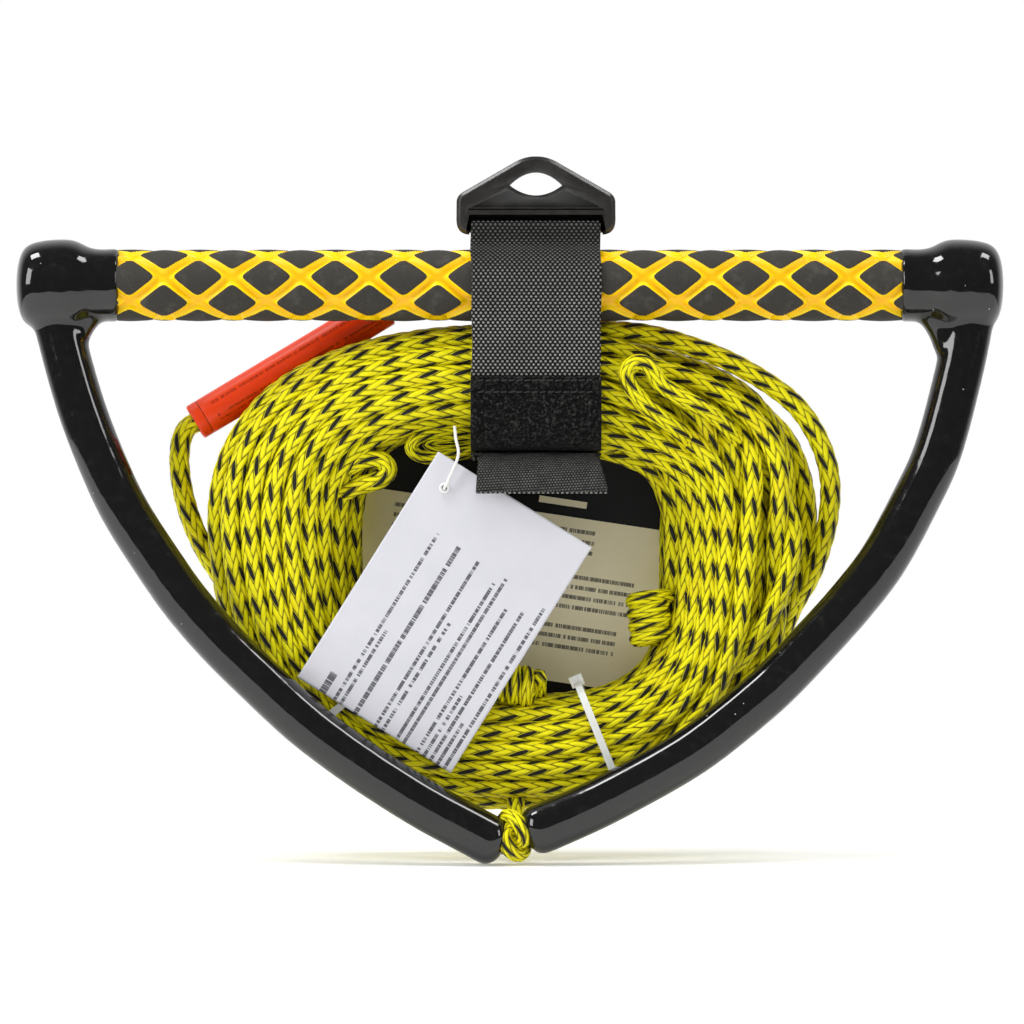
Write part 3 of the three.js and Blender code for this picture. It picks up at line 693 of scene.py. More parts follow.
# ---------------------------------------------------------------- finishes
finishes = {
    "rope": rope_finish(),
    "foam": foam_finish(),
    "gloss": gloss_finish(),
    "hanger": hanger_finish(),
    "webbing": webbing_finish(),
    "fuzz": fuzz_finish(),
    "hook": hook_finish(),
    "thread": thread_finish(),
    "orange": sleeve_finish(),
    "nylon": nylon_finish(),
    "string": string_finish(),
    "paper": paper_finish(),
    "card": card_finish(),
    "aluminium": plain_finish("drawn_aluminium", (0.5, 0.5, 0.52), (0.62, 0.62, 0.64), (0.25, 0.4),
                              Metallic=1.0),
    "cork": plain_finish("cork_foam", (0.5, 0.46, 0.38), (0.75, 0.70, 0.60), (0.8, 0.95), 900.0),
}


# ---------------------------------------------------------------- rope hank
def braid_relief(u, v):
    """Height of the braid's carriers over the rope's round, as in the rope's finish."""
    a, b = CARRIERS * (v + u), CARRIERS * (v - u)
    ia, ib = np.floor(a), np.floor(b)
    fa, fb = a - ia, b - ib
    turn = np.mod(ia + ib, 4)
    over = turn < 1.5
    across = np.where(over, fa, fb)
    along = np.where(over, (turn + fb) / 2, (turn - 2 + fa) / 2)
    crown = 1 - (2 * across - 1) ** 2
    return RELIEF * (np.sqrt(crown) * (0.4 + 0.6 * np.sin(math.pi * along)) - 0.5)


COIL_OUTER = {"x": -10.0, "z": -153.6, "width": 118.5, "height": 95.2, "square": 2.2}
COIL_INNER = {"x": -10.5, "z": -151.4, "width": 61.0, "height": 51.6, "square": 3.0}
COIL_NARROWING = 0.14
# Where the turns crowd into the hole: angle, depth and spread.
HOLE_DENTS = [(62, 8.0, 0.45), (180, 6.0, 0.6), (0, 3.0, 0.5)]
STATIONS = 72
LAYERS = (6, 6, 7, 6, 6, 6)
START_ANGLE = math.radians(230)
# How the turns settle: rounds, share of the diameter they may come near, and the weights of each move.
ROUNDS, CLOSEST, PUSH, SMOOTHING, PULL = 160, 0.97, 0.28, 0.24, 0.03


def coil_point(angle, k):
    """x and z at share k of the way from the hank's hole to its outside."""
    mix = {key: COIL_INNER[key] + (COIL_OUTER[key] - COIL_INNER[key]) * k for key in COIL_INNER}
    dent = sum(
        depth * np.exp(-((np.mod(angle - math.radians(at) + math.pi, 2 * math.pi) - math.pi) / spread) ** 2)
        for at, depth, spread in HOLE_DENTS
    ) * (1 - k)
    power = 2 / mix["square"]
    c, s = (np.sign(f(angle)) * np.abs(f(angle)) ** power for f in (np.cos, np.sin))
    width = mix["width"] * (1 + COIL_NARROWING * k * s)
    return mix["x"] + width * c - dent * np.cos(angle), mix["z"] + mix["height"] * s - dent * np.sin(angle)


def wave(count, length, octaves=(1, 2, 3)):
    """Smooth noise about 0 for each of count rows, over length points of one turn."""
    at = np.linspace(0, 2 * math.pi, length, endpoint=False)
    total = np.zeros((count, length))
    for octave in octaves:
        phase = rng.uniform(0, 2 * math.pi, (count, 1))
        size = rng.normal(0, 1.0 / octave, (count, 1))
        total += size * np.sin(octave * at + phase)
    return total


def hank_sections():
    """Depth and radial place of every turn at every station, after the turns push each other apart."""
    turns = sum(LAYERS)
    angle = START_ANGLE - 2 * math.pi * np.arange(STATIONS) / STATIONS
    outer, inner = np.stack(coil_point(angle, 1.0)), np.stack(coil_point(angle, 0.0))
    width = np.linalg.norm(outer - inner, axis=0)
    slots = []
    for layer, count in enumerate(LAYERS):
        places = np.linspace(1, -1, count)
        if layer % 2:
            places = places[::-1]
        slots += [(q, -1 + 2 * layer / (len(LAYERS) - 1)) for q in places]
    slots = np.array(slots + [slots[-1]])
    share = (np.arange(STATIONS) / STATIONS)[None, :, None]
    aim = slots[:-1, None] * (1 - share) + slots[1:, None] * share
    messy = 0.18 + 0.82 * np.clip(np.cos(angle - math.radians(10)), 0, 1) ** 1.2
    aim[..., 0] += wave(turns, STATIONS) * messy * 0.65
    aim[..., 1] += wave(turns, STATIONS) * messy * 0.36
    half_depth = (COIL_DEPTH - ROPE_DIAMETER) / 2
    half = np.stack([(width - ROPE_DIAMETER) / 2, np.full(STATIONS, half_depth)], axis=1)
    place = aim.copy()
    near = ROPE_DIAMETER * CLOSEST
    for _ in range(ROUNDS):
        spot = place * half
        away = spot[:, None] - spot[None]
        far = np.maximum(np.linalg.norm(away, axis=-1), 1e-3)
        push = np.where(far < near, (near - far) / far, 0.0)
        push[np.arange(turns), np.arange(turns)] = 0
        spot = spot + PUSH * (away * push[..., None]).sum(1)
        flat = spot.reshape(-1, 2)
        flat[1:-1] += SMOOTHING * (flat[:-2] + flat[2:] - 2 * flat[1:-1])
        place = flat.reshape(turns, STATIONS, 2) / half
        place += PULL * (aim - place)
        inner_front = (place[..., 0] < 0) & (place[..., 1] < 0)
        power = np.where(inner_front, 3 - 1.75 * np.cos(angle) ** 2, 3.0)
        size = (np.abs(place) ** power[..., None]).sum(-1) ** (1 / power)
        place /= np.maximum(size, 1.0)[..., None]
    return angle, place, half


def hank_points():
    """The whole rope's line, turn after turn, as x, y and z at each station."""
    angle, place, half = hank_sections()
    outer, inner = np.stack(coil_point(angle, 1.0)), np.stack(coil_point(angle, 0.0))
    width = np.linalg.norm(outer - inner, axis=0)
    k = 0.5 + place[..., 0] * half[:, 0] / width
    points = np.empty((*place.shape[:2], 3))
    points[..., 0], points[..., 2] = coil_point(angle, k)
    points[..., 1] = COIL_Y + place[..., 1] * half[:, 1]
    return angle, points


SLEEVE_START, SLEEVE_END = np.array([-133.2, 16.0, -97.4]), np.array([-58.6, 22.0, -52.5])
SLEEVE_LENGTH = np.linalg.norm(SLEEVE_END - SLEEVE_START)
SLEEVE_ALONG = (SLEEVE_END - SLEEVE_START) / SLEEVE_LENGTH


def sleeve_at(distance):
    return SLEEVE_START + SLEEVE_ALONG * distance


# Loose stretches of the rope, clockwise as seen from the front.
TOW_ROUTE = [
    [-119.0, 12.0, -164.0], [-128.0, 12.0, -149.5], [-133.2, 12.6, -139.0], [-136.8, 13.2, -128.5],
    [-138.8, 13.8, -118.5], [-139.2, 14.6, -109.5], [-138.0, 15.3, -102.5],
    *[sleeve_at(d) for d in (-3, 0, SLEEVE_LENGTH / 2, SLEEVE_LENGTH, SLEEVE_LENGTH + 6, SLEEVE_LENGTH + 12)],
    [-41.5, 23.4, -44.0], [-34.0, 24.0, -43.2], [-25.0, 24.3, -44.0], [-13.0, 25.4, -45.8],
    [0.0, 26.6, -48.6], [14.0, 27.6, -53.4], [28.0, 28.0, -60.0], [40.0, 27.0, -68.0],
]
RIGHT_ROUTE = [
    [12.0, 3.0, -62.6], [26.0, 2.5, -61.6], [39.7, 2.0, -62.3], [51.0, 1.5, -64.6],
    [61.5, 1.0, -67.9], [71.0, 1.0, -71.4], [79.7, 1.0, -75.6], [90.5, 1.5, -82.0],
    [100.0, 2.0, -89.3], [106.0, 3.0, -96.6], [110.6, 4.0, -105.0], [113.8, 5.0, -114.5],
    [114.8, 6.0, -124.0], [114.2, 7.0, -133.0], [112.0, 8.5, -143.5], [107.3, 10.0, -156.8],
    [100.0, 12.0, -170.0],
]
TOW_TURN, TOW_SPAN = 24, (math.radians(200), math.radians(52))
RIGHT_TURN, RIGHT_SPAN = 11, (math.radians(95), math.radians(-18))
LED_OUT = ((TOW_TURN, TOW_SPAN, TOW_ROUTE), (RIGHT_TURN, RIGHT_SPAN, RIGHT_ROUTE))


def rope_line():
    """One line for the whole rope: the hank's turns, with two turns led out along their loose routes."""
    angle, points = hank_points()
    turned = np.mod(angle + math.pi, 2 * math.pi) - math.pi
    controls = []
    for number, turn in enumerate(points):
        for chosen, (high, low), route in LED_OUT:
            if number == chosen:
                plain = angle if high > math.pi else turned
                inside = np.flatnonzero((plain < high) & (plain > low))
                turn = np.vstack([turn[: inside[0]], route, turn[inside[-1] + 1:]])
        controls.append(turn)
    return curve_through(np.vstack(controls), 6), np.cumsum([len(c) for c in controls]) * 6


def braided(name, line, radius, sides, body, nodes):
    """A tube of the tow rope's braid."""
    return tube(name, line, radius, sides, finishes["rope"], body, nodes, braid_relief, 1 / BRAID_PITCH)


def make_rope():
    """The three sections of the tow rope, each one cord."""
    line, ends = rope_line()
    cuts = [0, *ends[list(SECTION_ENDS)], len(line) - 1]
    stands_for = (["rope_strand_right"], ["rope_coil", "rope_strand_tow", "rope_strand_left"], [])
    for number, nodes in enumerate(stands_for):
        part = even(line[cuts[number]: cuts[number + 1] + 1], ROPE_STEP)
        section = braided(f"rope_section_{number + 1}", part, DRAWN_RADIUS, 24, "bundle", nodes)


make_rope()


# ---------------------------------------------------------------- small rope details
def rope_tube(name, line, radius, body="bundle", stands_for=()):
    """A short free stretch or knot of rope, as a braided tube."""
    line = even(np.asarray(line), SHORT_STEP)
    braided(name, line, radius, 20, body, stands_for)


def helix(centre, axis, radius, rise, wraps, squash=1.0):
    """Wraps of rope about an axis through the centre."""
    axis = np.asarray(axis, float) / np.linalg.norm(axis)
    side = np.cross(axis, (0.0, 1.0, 0.0))
    side /= np.linalg.norm(side)
    up = np.cross(axis, side)
    t = np.linspace(0, 1, int(wraps * 24) + 1)[:, None]
    turn = t * wraps * 2 * math.pi
    return (
        np.asarray(centre)
        + axis * (t - 0.5) * rise
        + side * np.cos(turn) * radius
        + up * np.sin(turn) * radius * squash
    )


def tucked(line, into):
    """The line with both its ends led on into the hank."""
    line, into = np.asarray(line), np.asarray(into)
    start, end = ([tip + into * share for share in (1.0, 0.5)] for tip in (line[0], line[-1]))
    return curve_through(np.vstack([start, line[::4], end[::-1]]), 6)


def make_rope_details():
    hitch = helix((44.0, 2.0, -173.0), (-0.1, 0, 1), 5.6, 16.0, 3.25, 0.9)
    rope_tube("hitch_knot", tucked(hitch, (9.0, 9.0, 0.0)), 2.9)
    small = helix((-7.5, -3.0, -199.0), (1, 0, -0.25), 5.4, 15.0, 3.0, 0.9)
    rope_tube("small_knot", tucked(small, (0.0, 9.0, -9.0)), 2.9)
    rope_tube("loop_end", curve_through([
        (-84.0, 6.0, -124.0), (-74.0, 0.0, -115.0), (-66.0, -3.0, -111.5), (-59.5, -3.5, -112.0),
        (-57.4, -3.5, -115.5), (-60.0, -3.0, -119.0), (-68.0, -1.0, -121.5), (-80.0, 4.0, -127.0),
    ]), 3.5)
    rope_tube("flat_loop", curve_through([
        (-18.0, 2.0, -101.0), (-30.0, 0.0, -100.5), (-40.0, -1.0, -101.0), (-46.5, -1.5, -103.5),
        (-48.6, -1.5, -107.0), (-44.5, -1.0, -110.3), (-36.0, 0.0, -110.3), (-24.0, 2.0, -108.0),
    ]), 2.5)
    rope_tube("flat_loop_inner", curve_through([
        (-18.0, 2.0, -103.6), (-30.0, 0.5, -103.4), (-39.0, -0.5, -104.0), (-42.6, -0.8, -105.8),
        (-39.0, -0.5, -107.4), (-30.0, 0.5, -107.2), (-20.0, 2.0, -105.8),
    ]), 1.6)
    rope_tube("front_bight", curve_through([
        (61.0, -6.0, -106.0), (55.0, -14.5, -100.0), (48.0, -17.5, -94.5), (41.5, -18.2, -89.0),
        (36.8, -18.4, -83.0), (35.0, -18.4, -77.6), (37.4, -18.2, -74.2), (41.4, -18.0, -73.8),
        (44.9, -18.0, -76.6), (48.0, -18.0, -81.6), (53.5, -17.6, -86.0), (62.0, -16.5, -90.0),
        (71.0, -12.0, -96.0), (78.0, -4.0, -104.0),
    ]), 3.1)


make_rope_details()


def make_bridle_knot():
    """The bridle rope's knot between the leg ends, a turned and tucked loop."""
    t = np.linspace(0, 2 * math.pi, 200)
    ring = 5.6 + 2.3 * np.cos(3 * t)
    line = np.stack([
        -8.6 + 3.9 * np.sin(3 * t),
        -32.0 + ring * np.cos(2 * t) * 0.9,
        -255.6 + ring * np.sin(2 * t) * 0.98,
    ], axis=1)
    rope_tube("bridle_knot_rope", line, 2.9, "handle", ["bridle_knot"])


make_bridle_knot()

LEAD_ROUTE = [[-7.8, -25.0, -254.0], [-7.8, -18.5, -256.5], [-7.8, -12.0, -253.0], [-7.8, -5.0, -244.0],
              [-7.8, 1.0, -232.0], [-7.8, 4.0, -222.0]]


def make_lead():
    """From the knot up into the bottom of the hank."""
    line = even(curve_through(LEAD_ROUTE), SHORT_STEP)
    lead = braided("bridle_lead_rope", line, LEAD_RADIUS, 20, None, ["bridle_lead"])
    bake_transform(lead)


make_lead()


# ---------------------------------------------------------------- moulded corners and legs
LEFT_LEG_ROUTE = [
    [178.5, -47.0], [174.5, -62.0], [169.6, -80.0], [164.6, -95.5], [156.3, -116.0],
    [149.0, -131.0], [136.5, -150.5], [125.5, -166.0], [111.5, -182.0], [95.0, -198.0],
    [78.5, -213.0], [57.5, -228.5], [33.0, -244.0], [20.0, -251.0], [6.2, -258.2],
]
RIGHT_LEG_ROUTE = [
    [180.0, -47.0], [177.5, -62.0], [173.5, -80.0], [165.0, -110.0], [157.0, -127.0],
    [144.0, -150.5], [132.0, -166.0], [118.0, -181.5], [102.5, -197.5], [94.0, -205.0],
    [74.5, -220.5], [62.0, -228.5], [34.0, -243.5], [20.5, -249.6], [10.0, -254.0],
]
LEG_TILT = 0.14
CORNER_PROFILE = [
    [151.4, 12.6], [151.7, 14.4], [155.0, 14.2], [159.0, 14.1], [163.0, 14.7], [167.0, 16.8],
    [170.5, 17.9], [175.0, 18.0], [181.0, 17.5], [186.0, 16.3], [188.8, 14.2], [190.6, 10.0],
    [191.4, 5.0], [191.5, 1.0],
]


def beside(sign, out, z):
    """Points in a leg's tilted plane, out from the middle of the handle."""
    return np.stack([HANDLE_X + sign * out, BAR_Y + LEG_TILT * (z - BAR_Z), z], axis=1)


def leg_line(route, sign):
    """Middle line of a leg, from the corner to its blunt end."""
    out, z = np.array(route).T
    return even(curve_through(beside(sign, out, z)), 2.0)


def make_leg(side, sign, route):
    line = leg_line(route, sign)
    radius = np.interp(np.arange(len(line)), [0, len(line) - 1], [9.5, 9.8])
    tip = line[-1] + (line[-1] - line[-2]) / 2.0 * np.array([[1.5], [3.0], [4.2], [4.9]])
    line, radius = np.vstack([line, tip]), np.concatenate([radius, [9.1, 7.9, 5.6, 3.0]])
    profile = curve_through(CORNER_PROFILE, 4)
    corner_line = beside(sign, profile[:, 0], np.full(len(profile), BAR_Z))
    web = np.array([[157.0, -49.5], [161.0, -51.5], [165.0, -55.5], [168.5, -61.0], [171.0, -68.0]])
    web_line = beside(sign, *web.T)
    parts = [
        loose_tube(line, radius, 28),
        loose_tube(corner_line, profile[:, 1], 40),
        loose_tube(even(curve_through(web_line), 1.0), 6.6, 20),
    ]
    joined_mesh(
        f"leg_{side}", parts,
        [("REMESH", {"mode": "VOXEL", "voxel_size": 1.15 * MM}),
         ("SMOOTH", {"iterations": 14, "factor": 0.6})],
        finishes["gloss"], "handle", [f"bridle_leg_{side}"],
    )


make_leg("left", -1, LEFT_LEG_ROUTE)
make_leg("right", 1, RIGHT_LEG_ROUTE)

# ---------------------------------------------------------------- grip
GRIP_PITCH = 26.5
GRIP_ROW = math.radians(45.0)
GRIP_FIRST_ROW = math.radians(14.6)
GRIP_PHASE = -130.8  # x of one diamond of the first row
GROOVE_DEPTH = 2.1


def make_grip():
    """Foam sleeve with grooves cut in a diamond lattice, glued along a seam at the back."""
    columns, around = 340, 112
    x = np.linspace(HANDLE_X - GRIP_LENGTH / 2, HANDLE_X + GRIP_LENGTH / 2, columns)
    row = np.linspace(-4.0, 4.0, around + 1)
    angle = GRIP_FIRST_ROW + row * GRIP_ROW
    p, q = np.meshgrid((x - GRIP_PHASE) / GRIP_PITCH, row / 2, indexing="ij")
    a, b = p + q, p - q
    reach = sum(np.abs(2 * (np.mod(c + 0.5, 1) - 0.5)) ** DIAMOND_POWER for c in (a, b))
    reach = reach ** (1 / DIAMOND_POWER)
    wall = np.clip((reach - 0.745) / 0.16, 0, 1)
    sink = GROOVE_DEPTH * wall * wall * (3 - 2 * wall)
    dome = 0.28 * np.clip(reach / 0.7, 0, 1) ** 3
    ends = np.minimum(x - x[0], x[-1] - x)[:, None]
    radius = GRIP_RADIUS + 0.15 - sink - dome - 0.5 * np.clip(1 - ends / 0.8, 0, 1)
    radius[:, 0] = radius[:, -1] = GRIP_RADIUS - 1.2
    rings = np.stack([
        np.repeat(x[:, None], around + 1, 1), BAR_Y - radius * np.cos(angle), BAR_Z + radius * np.sin(angle)
    ], axis=-1)
    points = rings[:, :-1].reshape(-1, 3)
    quads, uv = around_quads(np.stack([a, b], axis=-1))
    grip = piece("grip_foam", points, quads[:, ::-1], uv[:, ::-1], finishes["foam"], "handle",
                 ["grip_outer_foam", "grip_inner_foam"])


make_grip()


# ---------------------------------------------------------------- hanger
HANGER_THICKNESS, HANGER_PIVOT_Z, HANGER_BAR_RADIUS, HANGER_CHAMFER = 8.0, -21.2, 2.2, 1.4


def bend(a, control, b, count=10):
    """Points of a quadratic curve, without its last one."""
    t = np.linspace(0, 1, count, endpoint=False)[:, None]
    return [*((1 - t) ** 2 * np.array(a) + 2 * t * (1 - t) * np.array(control) + t ** 2 * np.array(b))]


def drawn_in(outline, amounts):
    """The outline with every corner moved in along its own bisector."""
    line = np.array(outline)
    before, after = line - np.roll(line, 1, axis=0), np.roll(line, -1, axis=0) - line
    sides = [edge / np.linalg.norm(edge, axis=1, keepdims=True) for edge in (before, after)]
    normal = sum(np.stack([side[:, 1], -side[:, 0]], axis=1) for side in sides)
    normal /= np.linalg.norm(normal, axis=1, keepdims=True)
    half = np.clip((normal * np.stack([sides[0][:, 1], -sides[0][:, 0]], axis=1)).sum(1), 0.6, 1)
    return line + normal * (np.array(amounts) / half)[:, None]


def prism(outline, y_low, y_high, chamfer=0.0, kept=()):
    """A flat solid with an outline in x and z, still to be joined. Its rims may be chamfered."""
    work = bmesh.new()
    amounts = [0.0 if number in kept else chamfer for number in range(len(outline))]
    layers = [(outline, y_low), (outline, y_high)]
    if chamfer:
        inner = drawn_in(outline, amounts)
        layers = [(inner, y_low), (outline, y_low + chamfer), (outline, y_high - chamfer), (inner, y_high)]
    rings = [[work.verts.new((x * MM, y * MM, z * MM)) for x, z in shape] for shape, y in layers]
    for low, high in zip(rings, rings[1:]):
        for number in range(len(outline)):
            work.faces.new((low[number - 1], low[number], high[number], high[number - 1]))
    work.faces.new(rings[0])
    work.faces.new(rings[-1])
    bmesh.ops.recalc_face_normals(work, faces=work.faces)
    mesh = bpy.data.meshes.new("raw")
    work.to_mesh(mesh)
    work.free()
    return placed("raw", mesh)


def make_hanger():
    """Moulded hanger: chamfered rim, recessed web, lens eye, slot and a lower bar for the strap."""
    right = [
        *bend((0.0, 6.3), (4.2, 6.3), (8.0, 4.2), 6)[1:], (8.0, 4.2),
        *bend((28.6, -7.7), (30.9, -9.2), (30.9, -12.0), 6),
        *bend((30.9, -18.4), (30.9, -23.9), (25.9, -24.1), 6),
        (25.9, -24.1), (25.9, -16.3),
    ]
    outline = right + [(-x, z) for x, z in reversed(right)]
    notch = [number for number, (x, z) in enumerate(outline) if z > -17 and z < -16]
    body = prism(outline, -HANGER_THICKNESS / 2, HANGER_THICKNESS / 2, HANGER_CHAMFER, notch)
    eye = bend((-10.2, -5.0), (0, -12.8), (10.2, -5.0), 20) + bend((10.2, -5.0), (0, 5.0), (-10.2, -5.0), 20)
    pocket = [(-25.0, -13.6), (25.0, -13.6), (11.8, -6.2)]
    pocket += bend((11.8, -6.2), (0, -14.2), (-11.8, -6.2), 20)[1:] + [(-11.8, -6.2)]
    slot = [(-26.2, -14.6), (26.2, -14.6), (26.2, -13.9), (-26.2, -13.9)]
    cutters = [
        prism(eye, -10, 10),
        prism(pocket, -HANGER_THICKNESS / 2 - 2, -HANGER_THICKNESS / 2 + 2),
        prism(pocket, HANGER_THICKNESS / 2 - 2, HANGER_THICKNESS / 2 + 2),
        prism(slot, -10, -1.5),
        prism(slot, 1.5, 10),
    ]
    for cutter in cutters:
        cut = body.modifiers.new("cut", "BOOLEAN")
        cut.operation, cut.object, cut.solver = "DIFFERENCE", cutter, "EXACT"
    soften = body.modifiers.new("soften", "BEVEL")
    soften.width, soften.segments, soften.angle_limit = 0.25 * MM, 2, math.radians(35)
    shape = bpy.data.meshes.new_from_object(body.evaluated_get(bpy.context.evaluated_depsgraph_get()))
    for cutter in cutters:
        bpy.data.objects.remove(cutter)
    body.modifiers.clear()
    body.data = shape
    bar_line = [[x, 0.0, HANGER_PIVOT_Z] for x in np.linspace(-26.2, 26.2, 30)]
    bar = loose_tube(np.array(bar_line), HANGER_BAR_RADIUS, 20)
    made = joined_mesh("hanger_moulding", [body, bar], [], finishes["hanger"], "hanger",
                       ["hanger"])
    sharp = made.modifiers.new("edges", "EDGE_SPLIT")
    sharp.split_angle = math.radians(28)


make_hanger()

# ---------------------------------------------------------------- strap
LOOP_RADIUS = HANGER_BAR_RADIUS + 0.4 + STRAP_THICKNESS / 2
FRONT_FOLD_Z, BACK_FOLD_Z, FRONT_Y = -105.9, -111.0, -18.3
FRONT_PLY = [
    [8.0, FRONT_FOLD_Z], [-4.0, FRONT_FOLD_Z], [-11.5, -105.2], [-16.0, -102.0], [-18.0, -96.0],
    [FRONT_Y, -84.0], [FRONT_Y, -62.0], [-18.2, -48.0], [-17.8, -41.0], [-15.2, -35.6],
    [-10.0, -31.3], [-5.4, -28.4], [-4.2, -25.4],
]
HANGER_LOOP = [
    [-4.0, -22.6], [-3.7, -19.9], [-2.2, -18.1], [0.0, HANGER_PIVOT_Z + LOOP_RADIUS],
    [2.4, -18.8], [LOOP_RADIUS, HANGER_PIVOT_Z],
]
BACK_PLY = [
    [5.0, -25.0], [12.5, -31.0], [23.0, -35.5], [32.0, -41.5], [38.5, -51.0], [42.0, -64.0],
    [42.4, -80.0], [42.2, -95.0], [39.5, -105.0], [33.0, -110.0], [22.0, BACK_FOLD_Z],
    [-6.0, BACK_FOLD_Z], [-12.0, BACK_FOLD_Z],
]
STRAP_STEP = 0.75
TAPE_OFFSET = STRAP_THICKNESS / 2 + 0.3 + TAPE_THICKNESS / 2
LOOP_TAPE = [
    [8.0, FRONT_FOLD_Z - TAPE_OFFSET], [-4.0, FRONT_FOLD_Z - TAPE_OFFSET], [-12.2, -106.9],
    [-17.5, -103.2], [-20.0, -96.4], [FRONT_Y - TAPE_OFFSET, -84.0], [FRONT_Y - TAPE_OFFSET, -79.0],
]
HOOK_TAPE = [[y, BACK_FOLD_Z + TAPE_OFFSET] for y in (18.0, 4.0, -12.0)]
TAIL_WEBBING = [[-12.9, -111.2], [-16.5, -112.4], [-20.0, -115.2], [-22.6, -119.0], [-24.6, -124.0]]
TAIL_TAPE = [[-12.9, -109.6], [-17.4, -110.9], [-21.6, -114.2], [-24.4, -118.3], [-26.3, -123.4]]


def strap_band(name, route, thickness, material, body, node, relief=0.0, width=None, lumps=0.0):
    """A strip that follows [y, z] points. width(share, sign) gives how far its two edges reach."""
    line = even(curve_through(route), STRAP_STEP)
    along = np.gradient(line, axis=0)
    along /= np.linalg.norm(along, axis=1, keepdims=True)
    columns = round(STRAP_WIDTH / STRAP_STEP) + 1
    across = np.linspace(-1, 1, columns)
    share = np.linspace(0, 1, len(line))
    reach = np.full((len(line), 2), STRAP_WIDTH / 2)
    if width is not None:
        reach = np.stack([width(share, -1), width(share, 1)], axis=1)
    x = np.where(across[None] < 0, across[None] * reach[:, :1], across[None] * reach[:, 1:])
    centre = np.stack([x, *np.broadcast_arrays(line[:, :1] + 0 * x, line[:, 1:] + 0 * x)], axis=-1)
    normal = np.zeros_like(centre)
    normal[..., 1], normal[..., 2] = -along[:, 1:2], along[:, 0:1]
    u = np.repeat(lengths_along(line)[:, None], columns, 1)
    rise = relief * np.cos(2 * math.pi * x / WEAVE_ACROSS) * np.cos(math.pi * u / WEAVE_ALONG)
    if lumps:
        rise = rise + lumps * wave(len(line), columns, (5, 9, 14, 22))
    uv = np.stack([u, x], axis=-1)
    return slab(name, centre, normal, thickness, uv, material, body, [node], rise)


def slightly_uneven(share, sign):
    """The webbing's selvedge wanders by a few tenths."""
    return STRAP_WIDTH / 2 - 0.25 + 0.25 * np.sin(23 * share + sign) + 0.2 * np.sin(61 * share + 2 * sign)


def flared(share, sign):
    """The loose tail splays towards its cut end, more on the right."""
    return 21.9 + 1.4 * share if sign < 0 else 22.9 + 5.0 * share


def make_strap():
    strap_band("strap_web", [*FRONT_PLY, *HANGER_LOOP, *BACK_PLY], STRAP_THICKNESS, finishes["webbing"],
               "bundle", "strap_webbing", relief=0.10, width=slightly_uneven)
    strap_band("loop_tape", LOOP_TAPE, TAPE_THICKNESS, finishes["fuzz"], "bundle",
               "strap_loop_tape", lumps=0.05)
    strap_band("hook_tape", HOOK_TAPE, TAPE_THICKNESS, finishes["hook"], "bundle",
               "strap_hook_tape", lumps=0.04)
    strap_band("tail_web", TAIL_WEBBING, STRAP_THICKNESS, finishes["webbing"], "tail",
               "tail_webbing", relief=0.10, width=flared)
    strap_band("tail_hooks", TAIL_TAPE, TAPE_THICKNESS, finishes["hook"], "tail",
               "tail_hook_tape", lumps=0.08, width=flared)


make_strap()


def make_stitches(name, z, node):
    """A row of separate slanted stitches across the tape."""
    points, quads = [], []
    face = FRONT_Y - TAPE_OFFSET - TAPE_THICKNESS / 2 - 0.1
    for start in np.arange(-22.5, 22.0, 3.0):
        line = np.stack([
            np.linspace(start, start + 2.2, 7),
            face - 0.35 * np.sin(np.linspace(0, math.pi, 7)),
            np.linspace(z - 0.15, z + 0.15, 7),
        ], axis=1)
        stitch = tube("raw", line, 0.28, 8, finishes["thread"], None)
        count = len(points)
        points += [np.array(v.co) / MM for v in stitch.data.vertices]
        quads += [[count + k for k in p.vertices] for p in stitch.data.polygons if len(p.vertices) == 4]
        bpy.data.objects.remove(stitch)
    piece(name, points, quads, np.zeros((len(quads), 4, 2)), finishes["thread"], "bundle", [node])


make_stitches("stitches_upper", -80.5, "stitch_row_upper")
make_stitches("stitches_lower", -85.0, "stitch_row_lower")


# ---------------------------------------------------------------- sleeve
def make_sleeve():
    """Thin-walled orange tube with rolled rims, open at both ends."""
    outer, inner = 7.2, 5.6
    share = np.array([0.0, 0.25, 0.6, 1.2, 4.1, 4.4, 4.7, *np.linspace(8, SLEEVE_LENGTH - 4, 20),
                      SLEEVE_LENGTH - 1.2, SLEEVE_LENGTH - 0.5, SLEEVE_LENGTH - 0.2, SLEEVE_LENGTH])
    wide = np.interp(share, [0, 0.25, 0.6, 1.2, 4.1, 4.4, 4.7, SLEEVE_LENGTH - 0.5, SLEEVE_LENGTH],
                     [outer - 0.6, outer - 0.2, outer, outer, outer, outer - 0.12, outer, outer, outer - 0.6])
    profile = [*zip(share, wide), *[(s, inner) for s in share[::-1]]]
    sides = 48
    side = np.cross(SLEEVE_ALONG, (0.0, 1.0, 0.0))
    side /= np.linalg.norm(side)
    up = np.cross(SLEEVE_ALONG, side)
    angle = 2 * math.pi * np.arange(sides) / sides
    rings = np.array([
        sleeve_at(s) + r * (np.cos(angle)[:, None] * side + np.sin(angle)[:, None] * up) for s, r in profile
    ])
    quads, uv = around_quads(length_and_turn(np.array([s for s, _ in profile]), sides), closed=True)
    piece("sleeve", rings.reshape(-1, 3), quads[:, ::-1], uv[:, ::-1], finishes["orange"], "sleeve",
          ["warning_sleeve"])


make_sleeve()


